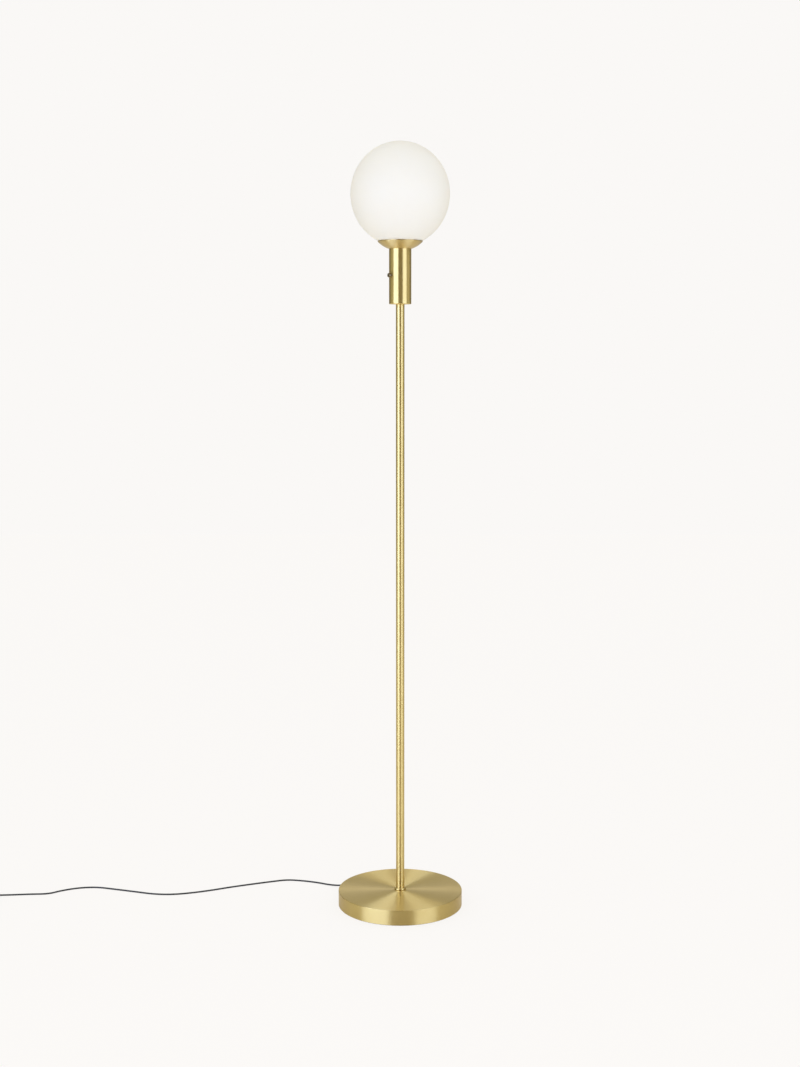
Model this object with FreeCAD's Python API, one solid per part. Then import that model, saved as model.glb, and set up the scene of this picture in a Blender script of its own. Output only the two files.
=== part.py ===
"""Globe floor lamp: a round weighted base, a pole in three screwed sections, a tube
with a turn switch, a shallow cup and an opal glass globe, with its mains lead.

Millimetres, +Z up, origin at the middle of the base's underside, the front towards -Y.
"""
import FreeCAD
import Part
import math
import os

from FreeCAD import Vector

# ---------------------------------------------------------------- driving sizes
# base
base_diameter = 260.0
base_height = 32.0
cover_wall = 1.2
cover_edge_bevel = 0.9
cover_lift = 1.0             # the cover's skirt stops this far above the floor
pad_thickness = 2.0
pad_gap = 0.8                # between the pad's edge and the cover's skirt
weight_gap = 0.3             # between the iron weight and the cover's skirt
weight_plate_top = 22.0
weight_boss_radius = 30.0
weight_rim_width = 10.0
recess_radius = 20.0         # room for the nut and washer under the weight
recess_top = 22.0
collar_radius = 12.4
collar_height = 4.6
# pole
pole_diameter = 17.5
pole_wall = 1.2
section_length = 407.5
bush_length = 22.0
stud_length = 40.0
# threaded tube and its nuts
thread_radius = 5.0
thread_bore = 3.5
thread_gap = 0.05
nut_across_flats = 14.0
nut_height = 5.0
washer_radius = 15.0
washer_thickness = 2.0
nipple_stub = 1.0            # how far a nipple stands out of its nut
nipple_reach = 18.0          # how far a nipple goes into the pole's end bush
# tube with the switch
head_diameter = 45.2
head_length = 110.5
head_wall = 1.5
head_floor = 3.0
head_edge_round = 1.6
# switch, on a radial axis
switch_azimuth = 212.0       # degrees from +X: to the left, a little to the front
switch_height = 57.3         # above the lower end of the tube
switch_body_radius = 6.5
switch_body_length = 12.0
switch_bush_radius = 3.0
switch_nut_radius = 4.0
switch_nut_height = 1.2
spindle_radius = 1.5
terminal_spacing = 6.0       # between the wires at the switch
knob_diameter = 8.4
knob_reach = 6.0             # knob's end above the tube's surface
knob_gap = 0.3
knob_flutes = 16
knob_flute_depth = 0.3
# lamp holder, inside the tube
holder_radius = 19.5
holder_length = 43.5
holder_wall = 2.0
holder_flange_height = 2.5
holder_cap_height = 17.5
holder_mouth_radius = 14.4
holder_proud = 6.0           # how far the holder stands above the tube's end
holder_plate_thickness = 1.5
holder_core_height = 9.0
shell_wall = 0.6
shell_gap = 0.1
ring_width = 2.5
ring_height = 3.5
# cup
cup_radius = 45.5
cup_bowl_height = 14.2
cup_lip_height = 1.3
cup_sagitta = 1.7
cup_wall = 1.2
# globe
globe_width = 200.0
globe_height = 207.4
globe_wall = 2.5
mouth_radius = 36.0
globe_seat_gap = 0.3         # glass above the cup's lip
gasket_radius = 40.0
gasket_squeeze = 0.15
clip_thickness = 0.8
clip_width = 8.0
clip_rise = 9.0              # clip's free end above the mouth's lower edge
clip_count = 3
# bulb
bulb_cap_radius = 13.2
bulb_cap_length = 24.0
bulb_radius = 30.0
bulb_length = 110.0
bulb_neck_radius = 13.8
bulb_wall = 1.2
# mains lead
cord_diameter = 3.5
exit_azimuth = 143.0         # degrees from +X: behind the base, to the left
exit_height = 7.0
relief_length = 24.0
relief_root_radius = 4.6
relief_tip_radius = 2.6
relief_neck_radius = 3.8
relief_flange = 4.9
relief_flange_depth = 3.0
lead_gap = 0.05              # between the lead and what it passes through
clamp_length = 24.0
clamp_width = 11.0
clamp_thickness = 1.3
clamp_place = 60.0           # from the base's middle
clamp_screw_spacing = 17.0
clamp_screw_radius = 1.5
clamp_screw_head = 2.8
clamp_screw_length = 11.0
core_wire_radius = 0.8
sheath_end = 30.0            # lead's sheath ends this far above the tube's lower end
# coil of the length that is put away
turn_gap = 1.15
coil_outer_turn = 24.6       # centre line radius of the outermost turn
coil_lift = 0.8              # on the tie that goes round the turns
coil_layer_steps = 4         # level half turns in each of the first layers
coil_last_steps = 3
tie_width = 8.0
tie_thickness = 0.6
tie_gap = 0.6
# plug
plug_width = 34.0
plug_height = 13.6
plug_length = 36.0
plug_grip_width = 22.0
plug_relief_length = 18.0
plug_relief_root = 3.6
pin_radius = 2.0
pin_length = 19.0
pin_spacing = 18.6
pin_depth = 8.5              # of a pin inside the plug's body
pin_gap = 0.02
pin_root_radius = 1.5        # of the pin's root, moulded into the plug
pin_shoulder = 0.4           # between the plug's front and the pin's full width

# The lead's route, x, y and height of its centre line, from beside the strain relief
# over the floor to the coil. The points were set by hand to follow its loose curves.
lead_route = [
    (-130.2, 98.1, 7.0),
    (-142.5, 105.2, 4.9),
    (-158.5, 112.8, 2.4),
    (-181.0, 126.0, 1.75),
    (-215.0, 138.0, 1.75),
    (-250.0, 144.5, 1.75),
    (-284.0, 132.0, 1.75),
    (-326.0, 115.3, 1.75),
    (-370.0, 96.5, 1.75),
    (-408.0, 77.0, 1.75),
    (-450.0, 60.0, 1.75),
    (-490.0, 50.0, 1.75),
    (-530.0, 52.5, 1.75),
    (-574.0, 68.3, 1.75),
    (-620.0, 83.5, 1.75),
    (-660.0, 97.0, 1.75),
    (-700.0, 92.0, 1.75),
    (-734.0, 74.0, 1.75),
    (-756.0, 54.0, 1.75),
    (-794.0, 52.5, 1.75),
    (-834.0, 48.0, 1.75),
    (-861.0, 44.9, 2.2),
    (-875.0, 44.9, 2.55),
    (-886.5, 44.9, 2.55),
]
# from the coil's upper end down to the plug beside it
tail_route = [
    (-898.0, 42.575, 16.5),
    (-909.0, 41.6, 14.9),
    (-922.5, 36.5, 11.4),
    (-931.5, 26.0, 8.3),
    (-935.5, 13.0, 7.0),
    (-936.0, 2.0, 6.8),
]

# ---------------------------------------------------------------- worked-out places
base_radius = base_diameter / 2
cord_rest = cord_diameter / 2    # height of a lead's centre line on the floor
pole_radius = pole_diameter / 2
pole_bore = pole_radius - pole_wall
pole_foot = base_height
pole_joints = [pole_foot + section_length * count for count in range(4)]
head_bottom = pole_joints[3]
head_top = head_bottom + head_length
head_radius = head_diameter / 2
head_bore = head_radius - head_wall
cup_rim = head_top + cup_bowl_height + cup_lip_height
globe_half_width = globe_width / 2
globe_half_height = globe_height / 2
globe_stretch = globe_half_height / globe_half_width
lip_bore = cup_radius - cup_wall
globe_middle = (cup_rim + globe_seat_gap
                + globe_half_height * math.sqrt(1 - (lip_bore / globe_half_width) ** 2))
holder_top = head_top + holder_proud
holder_bottom = holder_top - holder_length
plate_bottom = holder_bottom - holder_plate_thickness
core_top = holder_bottom + holder_cap_height + 1.0
core_bottom = core_top - holder_core_height
contact_top = core_top + 1.0
shell_bore = bulb_cap_radius + shell_gap
clip_plate_low = head_top + cup_wall
clip_plate_high = clip_plate_low + clip_thickness
switch_level = head_bottom + switch_height
coil_pitch = cord_diameter + turn_gap
coil_level = coil_lift + cord_rest

z_axis = Vector(0, 0, 1)


# ---------------------------------------------------------------- helpers
def cylinder(radius, low, high, x=0.0, y=0.0):
    return Part.makeCylinder(radius, high - low, Vector(x, y, low))


def sleeve(radius, bore, low, high):
    return cylinder(radius, low, high).cut(cylinder(bore, low - 1, high + 1))


def turned(edges):
    """Solid turned about the Z axis from a closed outline in the XZ plane."""
    outline = Part.Wire(Part.__sortEdges__(edges))
    return Part.Face(outline).revolve(Vector(0, 0, 0), z_axis, 360).Solids[0]


def line(start, end):
    return Part.LineSegment(Vector(start[0], 0, start[1]), Vector(end[0], 0, end[1])).toShape()


def lines(points):
    return [line(start, end) for start, end in zip(points, points[1:])]


def arc(start, middle, end):
    points = [Vector(point[0], 0, point[1]) for point in (start, middle, end)]
    return Part.Arc(*points).toShape()


def turned_polygon(points):
    return turned(lines(points + points[:1]))


def radial(shape, azimuth, level=0.0):
    """Turn a shape drawn along +X to an azimuth, and raise it."""
    placed = shape.copy()
    placed.rotate(Vector(0, 0, 0), z_axis, azimuth)
    placed.translate(Vector(0, 0, level))
    return placed


def moved(shape, shift):
    placed = shape.copy()
    placed.translate(shift)
    return placed


def rod_along_x(radius, start, end):
    return Part.makeCylinder(radius, end - start, Vector(start, 0, 0), Vector(1, 0, 0))


def cone_along_x(radius_start, radius_end, start, end):
    return Part.makeCone(radius_start, radius_end, end - start, Vector(start, 0, 0), Vector(1, 0, 0))


def hex_nut(across_flats, bore, low, high):
    corner = across_flats / math.sqrt(3)
    points = [Vector(corner * math.cos(math.radians(60 * side)),
                     corner * math.sin(math.radians(60 * side)), low) for side in range(7)]
    prism = Part.Face(Part.makePolygon(points)).extrude(Vector(0, 0, high - low))
    return prism.cut(cylinder(bore, low - 1, high + 1))


def save(name, *shapes):
    shape = shapes[0] if len(shapes) == 1 else Part.makeCompound(list(shapes))
    count = len(shape.Solids)
    print(f"{name}: {count} solid(s), {shape.Volume:.0f} mm3, valid {shape.isValid()}")
    shape.exportStep(f"parts/{name}.step")


# ---------------------------------------------------------------- cord helpers
def rounded_path(points):
    """Straight runs joined by tangent arcs, and the arcs' radii."""
    corners = [Vector(*point) for point in points]
    edges = []
    radii = []
    start = corners[0]
    for before, corner, after in zip(corners, corners[1:], corners[2:]):
        back = (before - corner)
        ahead = (after - corner)
        reach = 0.45 * min(back.Length, ahead.Length)
        half_turn = (math.pi - back.getAngle(ahead)) / 2
        back.normalize()
        ahead.normalize()
        arc_start = corner + back * reach
        arc_end = corner + ahead * reach
        radius = reach / math.tan(half_turn)
        towards = (back + ahead).normalize()
        middle = corner + towards * (math.hypot(reach, radius) - radius)
        edges.append(Part.LineSegment(start, arc_start).toShape())
        edges.append(Part.Arc(arc_start, middle, arc_end).toShape())
        radii.append(radius)
        start = arc_end
    edges.append(Part.LineSegment(start, corners[-1]).toShape())
    return edges, radii


def pipe(edges, radius):
    """Round solid along a smooth chain of edges."""
    first = edges[0]
    start = first.valueAt(first.FirstParameter)
    heading = first.tangentAt(first.FirstParameter)
    section = Part.Wire([Part.makeCircle(radius, start, heading)])
    shape = Part.Wire(edges).makePipeShell([section], True, False)
    return shape.Solids[0]


def routed_tube(label, points, radius):
    edges, radii = rounded_path(points)
    solid = pipe(edges, radius)
    length = sum(edge.Length for edge in edges)
    share = solid.Volume / (math.pi * radius ** 2 * length)
    shown = ", ".join(f"{value:.0f}" for value in radii)
    print(f"{label}: length {length:.1f} mm, bend radii {shown}, volume share {share:.4f}")
    return solid, length


def half_turn_arcs(start, heading, end):
    """Two arcs that leave along a heading and arrive along the opposite one."""
    reach = (end - start).Length / 2
    first_corner = start + heading * reach
    last_corner = end + heading * reach
    middle = (first_corner + last_corner) * 0.5
    arcs = []
    for here, corner, there in ((start, first_corner, middle), (middle, last_corner, end)):
        back = (here - corner)
        ahead = (there - corner)
        half_angle = back.getAngle(ahead) / 2
        radius = back.Length * math.tan(half_angle)
        towards = (back.normalize() + ahead.normalize()).normalize()
        on_arc = corner + towards * (math.hypot(radius, (here - corner).Length) - radius)
        arcs.append(Part.Arc(here, on_arc, there).toShape())
    return arcs


def coil_path(middle_x, middle_y):
    """Half turns that spiral in and out again, layer on layer, with straight ends."""
    steps = []
    for layer in range(4):
        inwards = layer % 2 == 0
        count = coil_layer_steps if layer < 3 else coil_last_steps
        steps += [(-coil_pitch / 2 if inwards else coil_pitch / 2, 0.0)] * count
        if layer < 3:
            steps.append((0.0, coil_pitch))
    side = 1.0
    radius = coil_outer_turn
    level = coil_level
    here = Vector(middle_x, middle_y + radius, level)
    lead_in = Vector(middle_x + cord_diameter, here.y, level)
    edges = [Part.LineSegment(lead_in, here).toShape()]
    for radius_step, level_step in steps:
        radius += radius_step
        level += level_step
        heading = Vector(-side, 0, 0)
        side = -side
        there = Vector(middle_x, middle_y + side * radius, level)
        edges += half_turn_arcs(here, heading, there)
        here = there
    lead_out = Vector(here.x - side * cord_diameter, here.y, here.z)
    edges.append(Part.LineSegment(here, lead_out).toShape())
    return edges, len(steps)


def least_self_gap(edges, diameter):
    """Smallest clear distance between stretches of the coil over half a turn apart."""
    points = []
    along = 0.0
    for edge in edges:
        count = max(int(edge.Length), 2)
        for place in edge.discretize(count + 1)[:-1]:
            points.append((along, place))
            along += edge.Length / count
    least = None
    apart = 3 * diameter
    for index, (place, point) in enumerate(points):
        for other_place, other in points[index + 1:]:
            if other_place - place < apart:
                continue
            gap = point.distanceToPoint(other) - diameter
            if least is None or gap < least:
                least = gap
    return least


# ---------------------------------------------------------------- base
def make_base():
    inner = base_radius - cover_wall
    under = base_height - cover_wall
    hole = thread_radius + thread_gap
    cover = turned_polygon([
        (base_radius, cover_lift), (base_radius, base_height - cover_edge_bevel),
        (base_radius - cover_edge_bevel, base_height), (hole, base_height), (hole, under),
        (inner - cover_edge_bevel, under), (inner, under - cover_edge_bevel), (inner, cover_lift)])
    relief_hole = radial(rod_along_x(relief_neck_radius + lead_gap, inner - 4, base_radius + 4),
                         exit_azimuth, exit_height)
    save("base_cover", cover.cut(relief_hole))

    save("base_pad", cylinder(inner - pad_gap, 0, pad_thickness))

    weight_radius = inner - weight_gap
    weight = turned_polygon([
        (hole, recess_top), (recess_radius, recess_top), (recess_radius, pad_thickness),
        (weight_radius, pad_thickness), (weight_radius, under - cover_edge_bevel),
        (weight_radius - cover_edge_bevel, under), (weight_radius - weight_rim_width, under),
        (weight_radius - weight_rim_width, weight_plate_top), (weight_boss_radius, weight_plate_top),
        (weight_boss_radius, under), (hole, under)])
    channel_half = cord_diameter / 2 + 1.5
    channel_top = exit_height + channel_half
    channel = Part.makeBox(base_radius, 2 * channel_half, channel_top, Vector(0, -channel_half, 0))
    pocket_start = weight_radius - relief_flange_depth - 1
    pocket = Part.makeBox(base_radius, 2 * relief_flange + 1, exit_height + relief_flange + 0.5,
                          Vector(pocket_start, -relief_flange - 0.5, 0))
    clamp_seat_top = pad_thickness + clamp_thickness
    clamp_room = Part.makeBox(clamp_width + 1, clamp_length + 1, clamp_seat_top,
                              Vector(clamp_place - (clamp_width + 1) / 2, -(clamp_length + 1) / 2, 0))
    for cutter in (channel, pocket, clamp_room):
        weight = weight.cut(radial(cutter, exit_azimuth))
    screw_tip = pad_thickness + clamp_screw_length
    screws = []
    for side in (-1, 1):
        across = side * clamp_screw_spacing / 2
        hole_cut = cylinder(clamp_screw_radius + thread_gap, 0, screw_tip + 1, clamp_place, across)
        weight = weight.cut(radial(hole_cut, exit_azimuth))
        shank = cylinder(clamp_screw_radius, pad_thickness, screw_tip, clamp_place, across)
        head = Part.makeCone(clamp_screw_head, clamp_screw_radius, clamp_thickness,
                             Vector(clamp_place, across, pad_thickness))
        screws.append(radial(shank.fuse(head), exit_azimuth))
    save("base_weight", weight)
    save("cord_clamp_screws", *screws)

    plate = Part.makeBox(clamp_width, clamp_length, clamp_thickness,
                         Vector(clamp_place - clamp_width / 2, -clamp_length / 2, pad_thickness))
    ridge_top = exit_height - cord_rest - lead_gap
    ridge_half = channel_half - 0.3
    ridge = Part.makeBox(clamp_width, 2 * ridge_half, ridge_top - pad_thickness,
                         Vector(clamp_place - clamp_width / 2, -ridge_half, pad_thickness))
    clamp = plate.fuse(ridge).removeSplitter()
    for side in (-1, 1):
        across = side * clamp_screw_spacing / 2
        clamp = clamp.cut(Part.makeCone(clamp_screw_head + thread_gap, clamp_screw_radius + thread_gap,
                                        clamp_thickness, Vector(clamp_place, across, pad_thickness)))
    save("cord_clamp", radial(clamp, exit_azimuth))

    washer_low = recess_top - washer_thickness
    nut_low = washer_low - nut_height
    save("base_washer", sleeve(washer_radius, hole, washer_low, recess_top))
    save("base_nut", hex_nut(nut_across_flats, hole, nut_low, washer_low))
    save("base_nipple", sleeve(thread_radius, thread_bore, nut_low - nipple_stub,
                               pole_foot + nipple_reach))

    collar_bore = pole_radius + 0.1
    swell = collar_height / 2
    shoulder = collar_radius - swell * 0.9
    collar = turned(lines([(shoulder, pole_foot + collar_height), (collar_bore, pole_foot + collar_height),
                           (collar_bore, pole_foot), (shoulder, pole_foot)])
                    + [arc((shoulder, pole_foot), (collar_radius, pole_foot + swell),
                           (shoulder, pole_foot + collar_height))])
    save("base_collar", collar)
    return nut_low - nipple_stub


# ---------------------------------------------------------------- pole
def make_pole():
    bushes = []
    studs = []
    names = ("pole_lower", "pole_middle", "pole_upper")
    for name, low, high in zip(names, pole_joints, pole_joints[1:]):
        save(name, sleeve(pole_radius, pole_bore, low, high))
        for end in (low, high - bush_length):
            bushes.append(sleeve(pole_bore - thread_gap, thread_radius + thread_gap,
                                 end, end + bush_length))
    for joint in pole_joints[1:3]:
        studs.append(sleeve(thread_radius, thread_bore, joint - stud_length / 2, joint + stud_length / 2))
    save("pole_bushes", *bushes)
    save("pole_studs", *studs)


# ---------------------------------------------------------------- tube and switch
def make_head():
    hole = thread_radius + thread_gap
    bend = head_edge_round
    slope = bend * math.sqrt(0.5)
    tube = turned(
        lines([(head_radius, head_bottom + bend), (head_radius, head_top), (head_bore, head_top),
               (head_bore, head_bottom + head_floor), (hole, head_bottom + head_floor),
               (hole, head_bottom), (head_radius - bend, head_bottom)])
        + [arc((head_radius - bend, head_bottom),
               (head_radius - bend + slope, head_bottom + bend - slope),
               (head_radius, head_bottom + bend))])
    wall_hole = rod_along_x(switch_bush_radius + thread_gap, head_bore - 3, head_radius + 3)
    save("head_tube", tube.cut(radial(wall_hole, switch_azimuth, switch_level)))

    nut_low = head_bottom + head_floor
    nut_high = nut_low + nut_height
    save("head_nut", hex_nut(nut_across_flats, hole, nut_low, nut_high))
    save("head_nipple", sleeve(thread_radius, thread_bore, head_bottom - nipple_reach,
                               nut_high + nipple_stub))


def make_switch():
    def place(shape):
        return radial(shape, switch_azimuth, switch_level)

    body_end = math.sqrt(head_bore ** 2 - switch_body_radius ** 2) - 0.1
    body_start = body_end - switch_body_length
    body = rod_along_x(switch_body_radius, body_start, body_end)
    spindle_room = rod_along_x(spindle_radius + 0.1, body_end - 8, body_end + 1)
    nut_end = head_radius + switch_nut_height
    bush = rod_along_x(switch_bush_radius, body_end, nut_end)
    save("switch_body", place(body.cut(spindle_room)))
    save("switch_bush", place(bush.cut(rod_along_x(spindle_radius + 0.1, body_end - 1, nut_end + 1))))
    nut = rod_along_x(switch_nut_radius, head_radius - 0.4, nut_end)
    nut = nut.cut(rod_along_x(switch_bush_radius + thread_gap, head_radius - 2, nut_end + 1))
    save("switch_nut", place(nut.cut(cylinder(head_radius + 0.02, -20, 20))))

    knob_start = nut_end + knob_gap
    knob_end = head_radius + knob_reach
    knob_radius = knob_diameter / 2
    edge = 0.7
    knob = rod_along_x(knob_radius, knob_start, knob_end - edge)
    knob = knob.fuse(cone_along_x(knob_radius, knob_radius - edge, knob_end - edge, knob_end))
    flute_radius = 0.45
    for count in range(knob_flutes):
        angle = math.radians(360 * count / knob_flutes)
        reach = knob_radius - knob_flute_depth + flute_radius
        flute = Part.makeCylinder(flute_radius, knob_end,
                                  Vector(knob_start + 0.8, reach * math.cos(angle), reach * math.sin(angle)),
                                  Vector(1, 0, 0))
        knob = knob.cut(flute)
    spindle_end = knob_start + 2.6
    knob = knob.cut(rod_along_x(spindle_radius + 0.02, knob_start - 1, spindle_end + 0.02))
    save("switch_knob", place(knob))
    save("switch_spindle", place(rod_along_x(spindle_radius, body_end - 7.5, spindle_end)))
    return (body_start + body_end) / 2


# ---------------------------------------------------------------- lamp holder
def make_holder():
    hole = thread_radius + thread_gap
    save("holder_plate", sleeve(head_bore - thread_gap, hole, plate_bottom, holder_bottom))
    nut_low = plate_bottom - nut_height
    save("holder_nut", hex_nut(nut_across_flats, hole, nut_low, plate_bottom))
    floor = 3.0
    save("holder_nipple", sleeve(thread_radius, thread_bore, nut_low - nipple_stub, holder_bottom + floor))
    cap_top = holder_bottom + holder_cap_height
    cap_bore = holder_radius - holder_wall
    cap = turned_polygon([(hole, holder_bottom), (holder_radius, holder_bottom), (holder_radius, cap_top),
                          (cap_bore, cap_top), (cap_bore, holder_bottom + floor),
                          (hole, holder_bottom + floor)])
    save("holder_cap", cap)

    core_radius = cap_bore - 0.1
    core = cylinder(core_radius, core_bottom, core_top)
    terminal_x = 11.0
    terminals = []
    for side in (-1, 1):
        core = core.cut(cylinder(1.6, core_bottom - 1, core_bottom + 6, side * terminal_x, 0))
        terminals.append(cylinder(1.5, core_bottom - 1, core_bottom + 6, side * terminal_x, 0))
    core = core.cut(cylinder(2.1, core_bottom - 1, core_top + 1))
    save("holder_core", core)
    save("terminal_screws", *terminals)
    contact = cylinder(4.0, core_top, contact_top).fuse(cylinder(2.0, core_bottom, contact_top))
    save("holder_contact", contact)

    shell_radius = shell_bore + shell_wall
    shell_top = holder_top - 2.0
    save("holder_shell", sleeve(shell_radius, shell_bore, core_top, shell_top))
    skirt = sleeve(holder_radius, holder_mouth_radius, cap_top + 1.0, holder_top)
    flange = sleeve(head_bore - 0.2, holder_radius - 1, head_top - holder_flange_height, head_top)
    save("holder_skirt", skirt.fuse(flange).removeSplitter())
    save("holder_ring", sleeve(holder_radius + thread_gap + ring_width, holder_radius + thread_gap,
                               clip_plate_high, clip_plate_high + ring_height))


# ---------------------------------------------------------------- cup, clips, globe
def bowl_centre():
    """Centre and radius of the arc of the cup's outer side, in the XZ plane."""
    start = (head_radius, head_top)
    end = (cup_radius, head_top + cup_bowl_height)
    run = end[0] - start[0]
    rise = end[1] - start[1]
    chord = math.hypot(run, rise)
    radius = (chord ** 2 / 4 + cup_sagitta ** 2) / (2 * cup_sagitta)
    back = radius - cup_sagitta
    middle = ((start[0] + end[0]) / 2, (start[1] + end[1]) / 2)
    centre = (middle[0] - back * rise / chord, middle[1] + back * run / chord)
    return centre, radius


def bowl_inside(r):
    centre, radius = bowl_centre()
    return centre[1] - math.sqrt((radius - cup_wall) ** 2 - (r - centre[0]) ** 2)


def glass_under(r):
    return globe_middle - globe_half_height * math.sqrt(1 - (r / globe_half_width) ** 2)


def make_cup():
    centre, radius = bowl_centre()

    def on_bowl(angle, reach):
        return (centre[0] + reach * math.cos(angle), centre[1] + reach * math.sin(angle))

    first = math.atan2(head_top - centre[1], head_radius - centre[0])
    last = math.atan2(head_top + cup_bowl_height - centre[1], cup_radius - centre[0])
    half = (first + last) / 2
    inner = radius - cup_wall
    outside = [on_bowl(angle, radius) for angle in (first, half, last)]
    inside = [on_bowl(angle, inner) for angle in (last, half, first)]
    hole = holder_radius + thread_gap
    floor_top = head_top + cup_wall
    cup = turned([arc(*outside)]
                 + lines([outside[2], (cup_radius, cup_rim), (lip_bore, cup_rim), inside[0]])
                 + [arc(*inside)]
                 + lines([inside[2], (hole, floor_top), (hole, head_top), outside[0]]))
    save("globe_cup", cup)

    spring_reach = mouth_radius - globe_seat_gap
    mouth_low = glass_under(mouth_radius)
    foot = holder_radius + thread_gap + ring_width + 0.1
    leaf_low = mouth_low - 1.0
    leaf_high = mouth_low + clip_rise
    thick = clip_thickness
    outline = [
        (foot, clip_plate_low), (foot + 0.3, clip_plate_low), (spring_reach, leaf_low),
        (spring_reach, leaf_high), (spring_reach - thick, leaf_high),
        (spring_reach - thick, leaf_low + thick / 2), (foot, clip_plate_high)]
    corners = [Vector(r, -clip_width / 2, z) for r, z in outline + outline[:1]]
    leaf = Part.Face(Part.makePolygon(corners)).extrude(Vector(0, clip_width, 0))
    spider = sleeve(foot + 0.1, holder_radius + thread_gap, clip_plate_low, clip_plate_high)
    for count in range(clip_count):
        spider = spider.fuse(radial(leaf, 90 + 360 * count / clip_count))
    save("globe_clips", spider.removeSplitter())

    gap = glass_under(gasket_radius) - bowl_inside(gasket_radius)
    rise = (bowl_inside(gasket_radius + 1) - bowl_inside(gasket_radius - 1)) / 2
    section = gap / 2 * math.cos(math.atan(rise)) - gasket_squeeze
    level = (glass_under(gasket_radius) + bowl_inside(gasket_radius)) / 2
    save("globe_gasket", Part.makeTorus(gasket_radius, section, Vector(0, 0, level)))


def make_globe():
    squeeze = FreeCAD.Matrix()
    squeeze.scale(Vector(1, 1, globe_stretch))
    squeeze.move(Vector(0, 0, globe_middle))

    def outline(half_width):
        mouth_angle = math.asin(mouth_radius / half_width)
        middle = (math.pi - mouth_angle) / 2
        points = [(half_width * math.sin(angle), half_width * math.cos(angle))
                  for angle in (0.0, middle, math.pi - mouth_angle)]
        return arc(*points).transformGeometry(squeeze)

    outer = outline(globe_half_width)
    inner = outline(globe_half_width - globe_wall)
    outer_low = globe_middle - globe_stretch * math.sqrt(globe_half_width ** 2 - mouth_radius ** 2)
    inner_half = globe_half_width - globe_wall
    inner_low = globe_middle - globe_stretch * math.sqrt(inner_half ** 2 - mouth_radius ** 2)
    top = globe_middle + globe_half_height
    inner_top = globe_middle + globe_stretch * inner_half
    glass = turned([outer, inner, line((0, inner_top), (0, top)),
                    line((mouth_radius, outer_low), (mouth_radius, inner_low))])
    save("globe_glass", glass)


# ---------------------------------------------------------------- bulb
def make_bulb():
    tip = contact_top
    cap_top = tip + bulb_cap_length
    cap = turned_polygon([(0, tip), (4.5, tip), (6.0, tip + 1.5), (10.0, tip + 3.5),
                          (bulb_cap_radius, tip + 5.0), (bulb_cap_radius, cap_top), (0, cap_top)])
    save("bulb_cap", cap)

    def side(radius, neck, low):
        centre = tip + bulb_length - bulb_radius
        span = math.hypot(neck, low - centre)
        aim = math.atan2(low - centre, neck)
        turn = math.acos(radius / span)
        touch = aim + turn
        point = (radius * math.cos(touch), centre + radius * math.sin(touch))
        half = (touch + math.pi / 2) / 2
        middle = (radius * math.cos(half), centre + radius * math.sin(half))
        top = (0, centre + radius)
        return line((neck, low), point), arc(point, middle, top), top

    straight, dome, top = side(bulb_radius, bulb_neck_radius, cap_top)
    inner_neck = bulb_neck_radius - bulb_wall
    inner_foot = cap_top + bulb_wall
    inner_straight, inner_dome, inner_top = side(bulb_radius - bulb_wall, inner_neck, inner_foot)
    glass = turned([straight, dome, line(top, inner_top), inner_dome, inner_straight,
                    line((inner_neck, inner_foot), (inner_neck, cap_top)),
                    line((inner_neck, cap_top), (bulb_neck_radius, cap_top))])
    save("bulb_glass", glass)


# ---------------------------------------------------------------- wiring inside
def make_wiring(nipple_low, switch_reach):
    """The lead's sheath from the strain relief's tip to the tube, then its cores."""
    inner_end = switch_level - switch_height + sheath_end
    bend = nipple_low - exit_height
    start = Vector(base_radius + relief_length, 0, exit_height)
    bend_start = Vector(bend, 0, exit_height)
    bend_middle = Vector(bend * (1 - math.sqrt(0.5)), 0, nipple_low - bend * math.sqrt(0.5))
    bend_end = Vector(0, 0, nipple_low)
    edges = [Part.LineSegment(start, bend_start).toShape(),
             Part.Arc(bend_start, bend_middle, bend_end).toShape(),
             Part.LineSegment(bend_end, Vector(0, 0, inner_end)).toShape()]
    cable = pipe(edges, cord_rest)
    save("mains_cable", radial(cable, exit_azimuth))

    core = core_wire_radius
    spread = core + 0.05
    holder_inside = core_bottom - 1.0
    save("neutral_wire", radial(cylinder(core, inner_end, holder_inside, 0, spread), switch_azimuth))

    aside = terminal_spacing / 2
    terminal_level = switch_level - math.sqrt(switch_body_radius ** 2 - (aside - core) ** 2) - 0.02
    live_points = [(0, -spread, inner_end), (0, -spread, inner_end + 7),
                   (switch_reach, -aside, terminal_level - 7), (switch_reach, -aside, terminal_level)]
    edges, radii = rounded_path(live_points)
    save("live_wire", radial(pipe(edges, core), switch_azimuth))
    back_points = [(switch_reach, aside, terminal_level), (switch_reach, aside, terminal_level - 8),
                   (0, -spread, terminal_level - 1), (0, -spread, holder_inside)]
    edges, radii = rounded_path(back_points)
    save("switched_wire", radial(pipe(edges, core), switch_azimuth))


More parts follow.
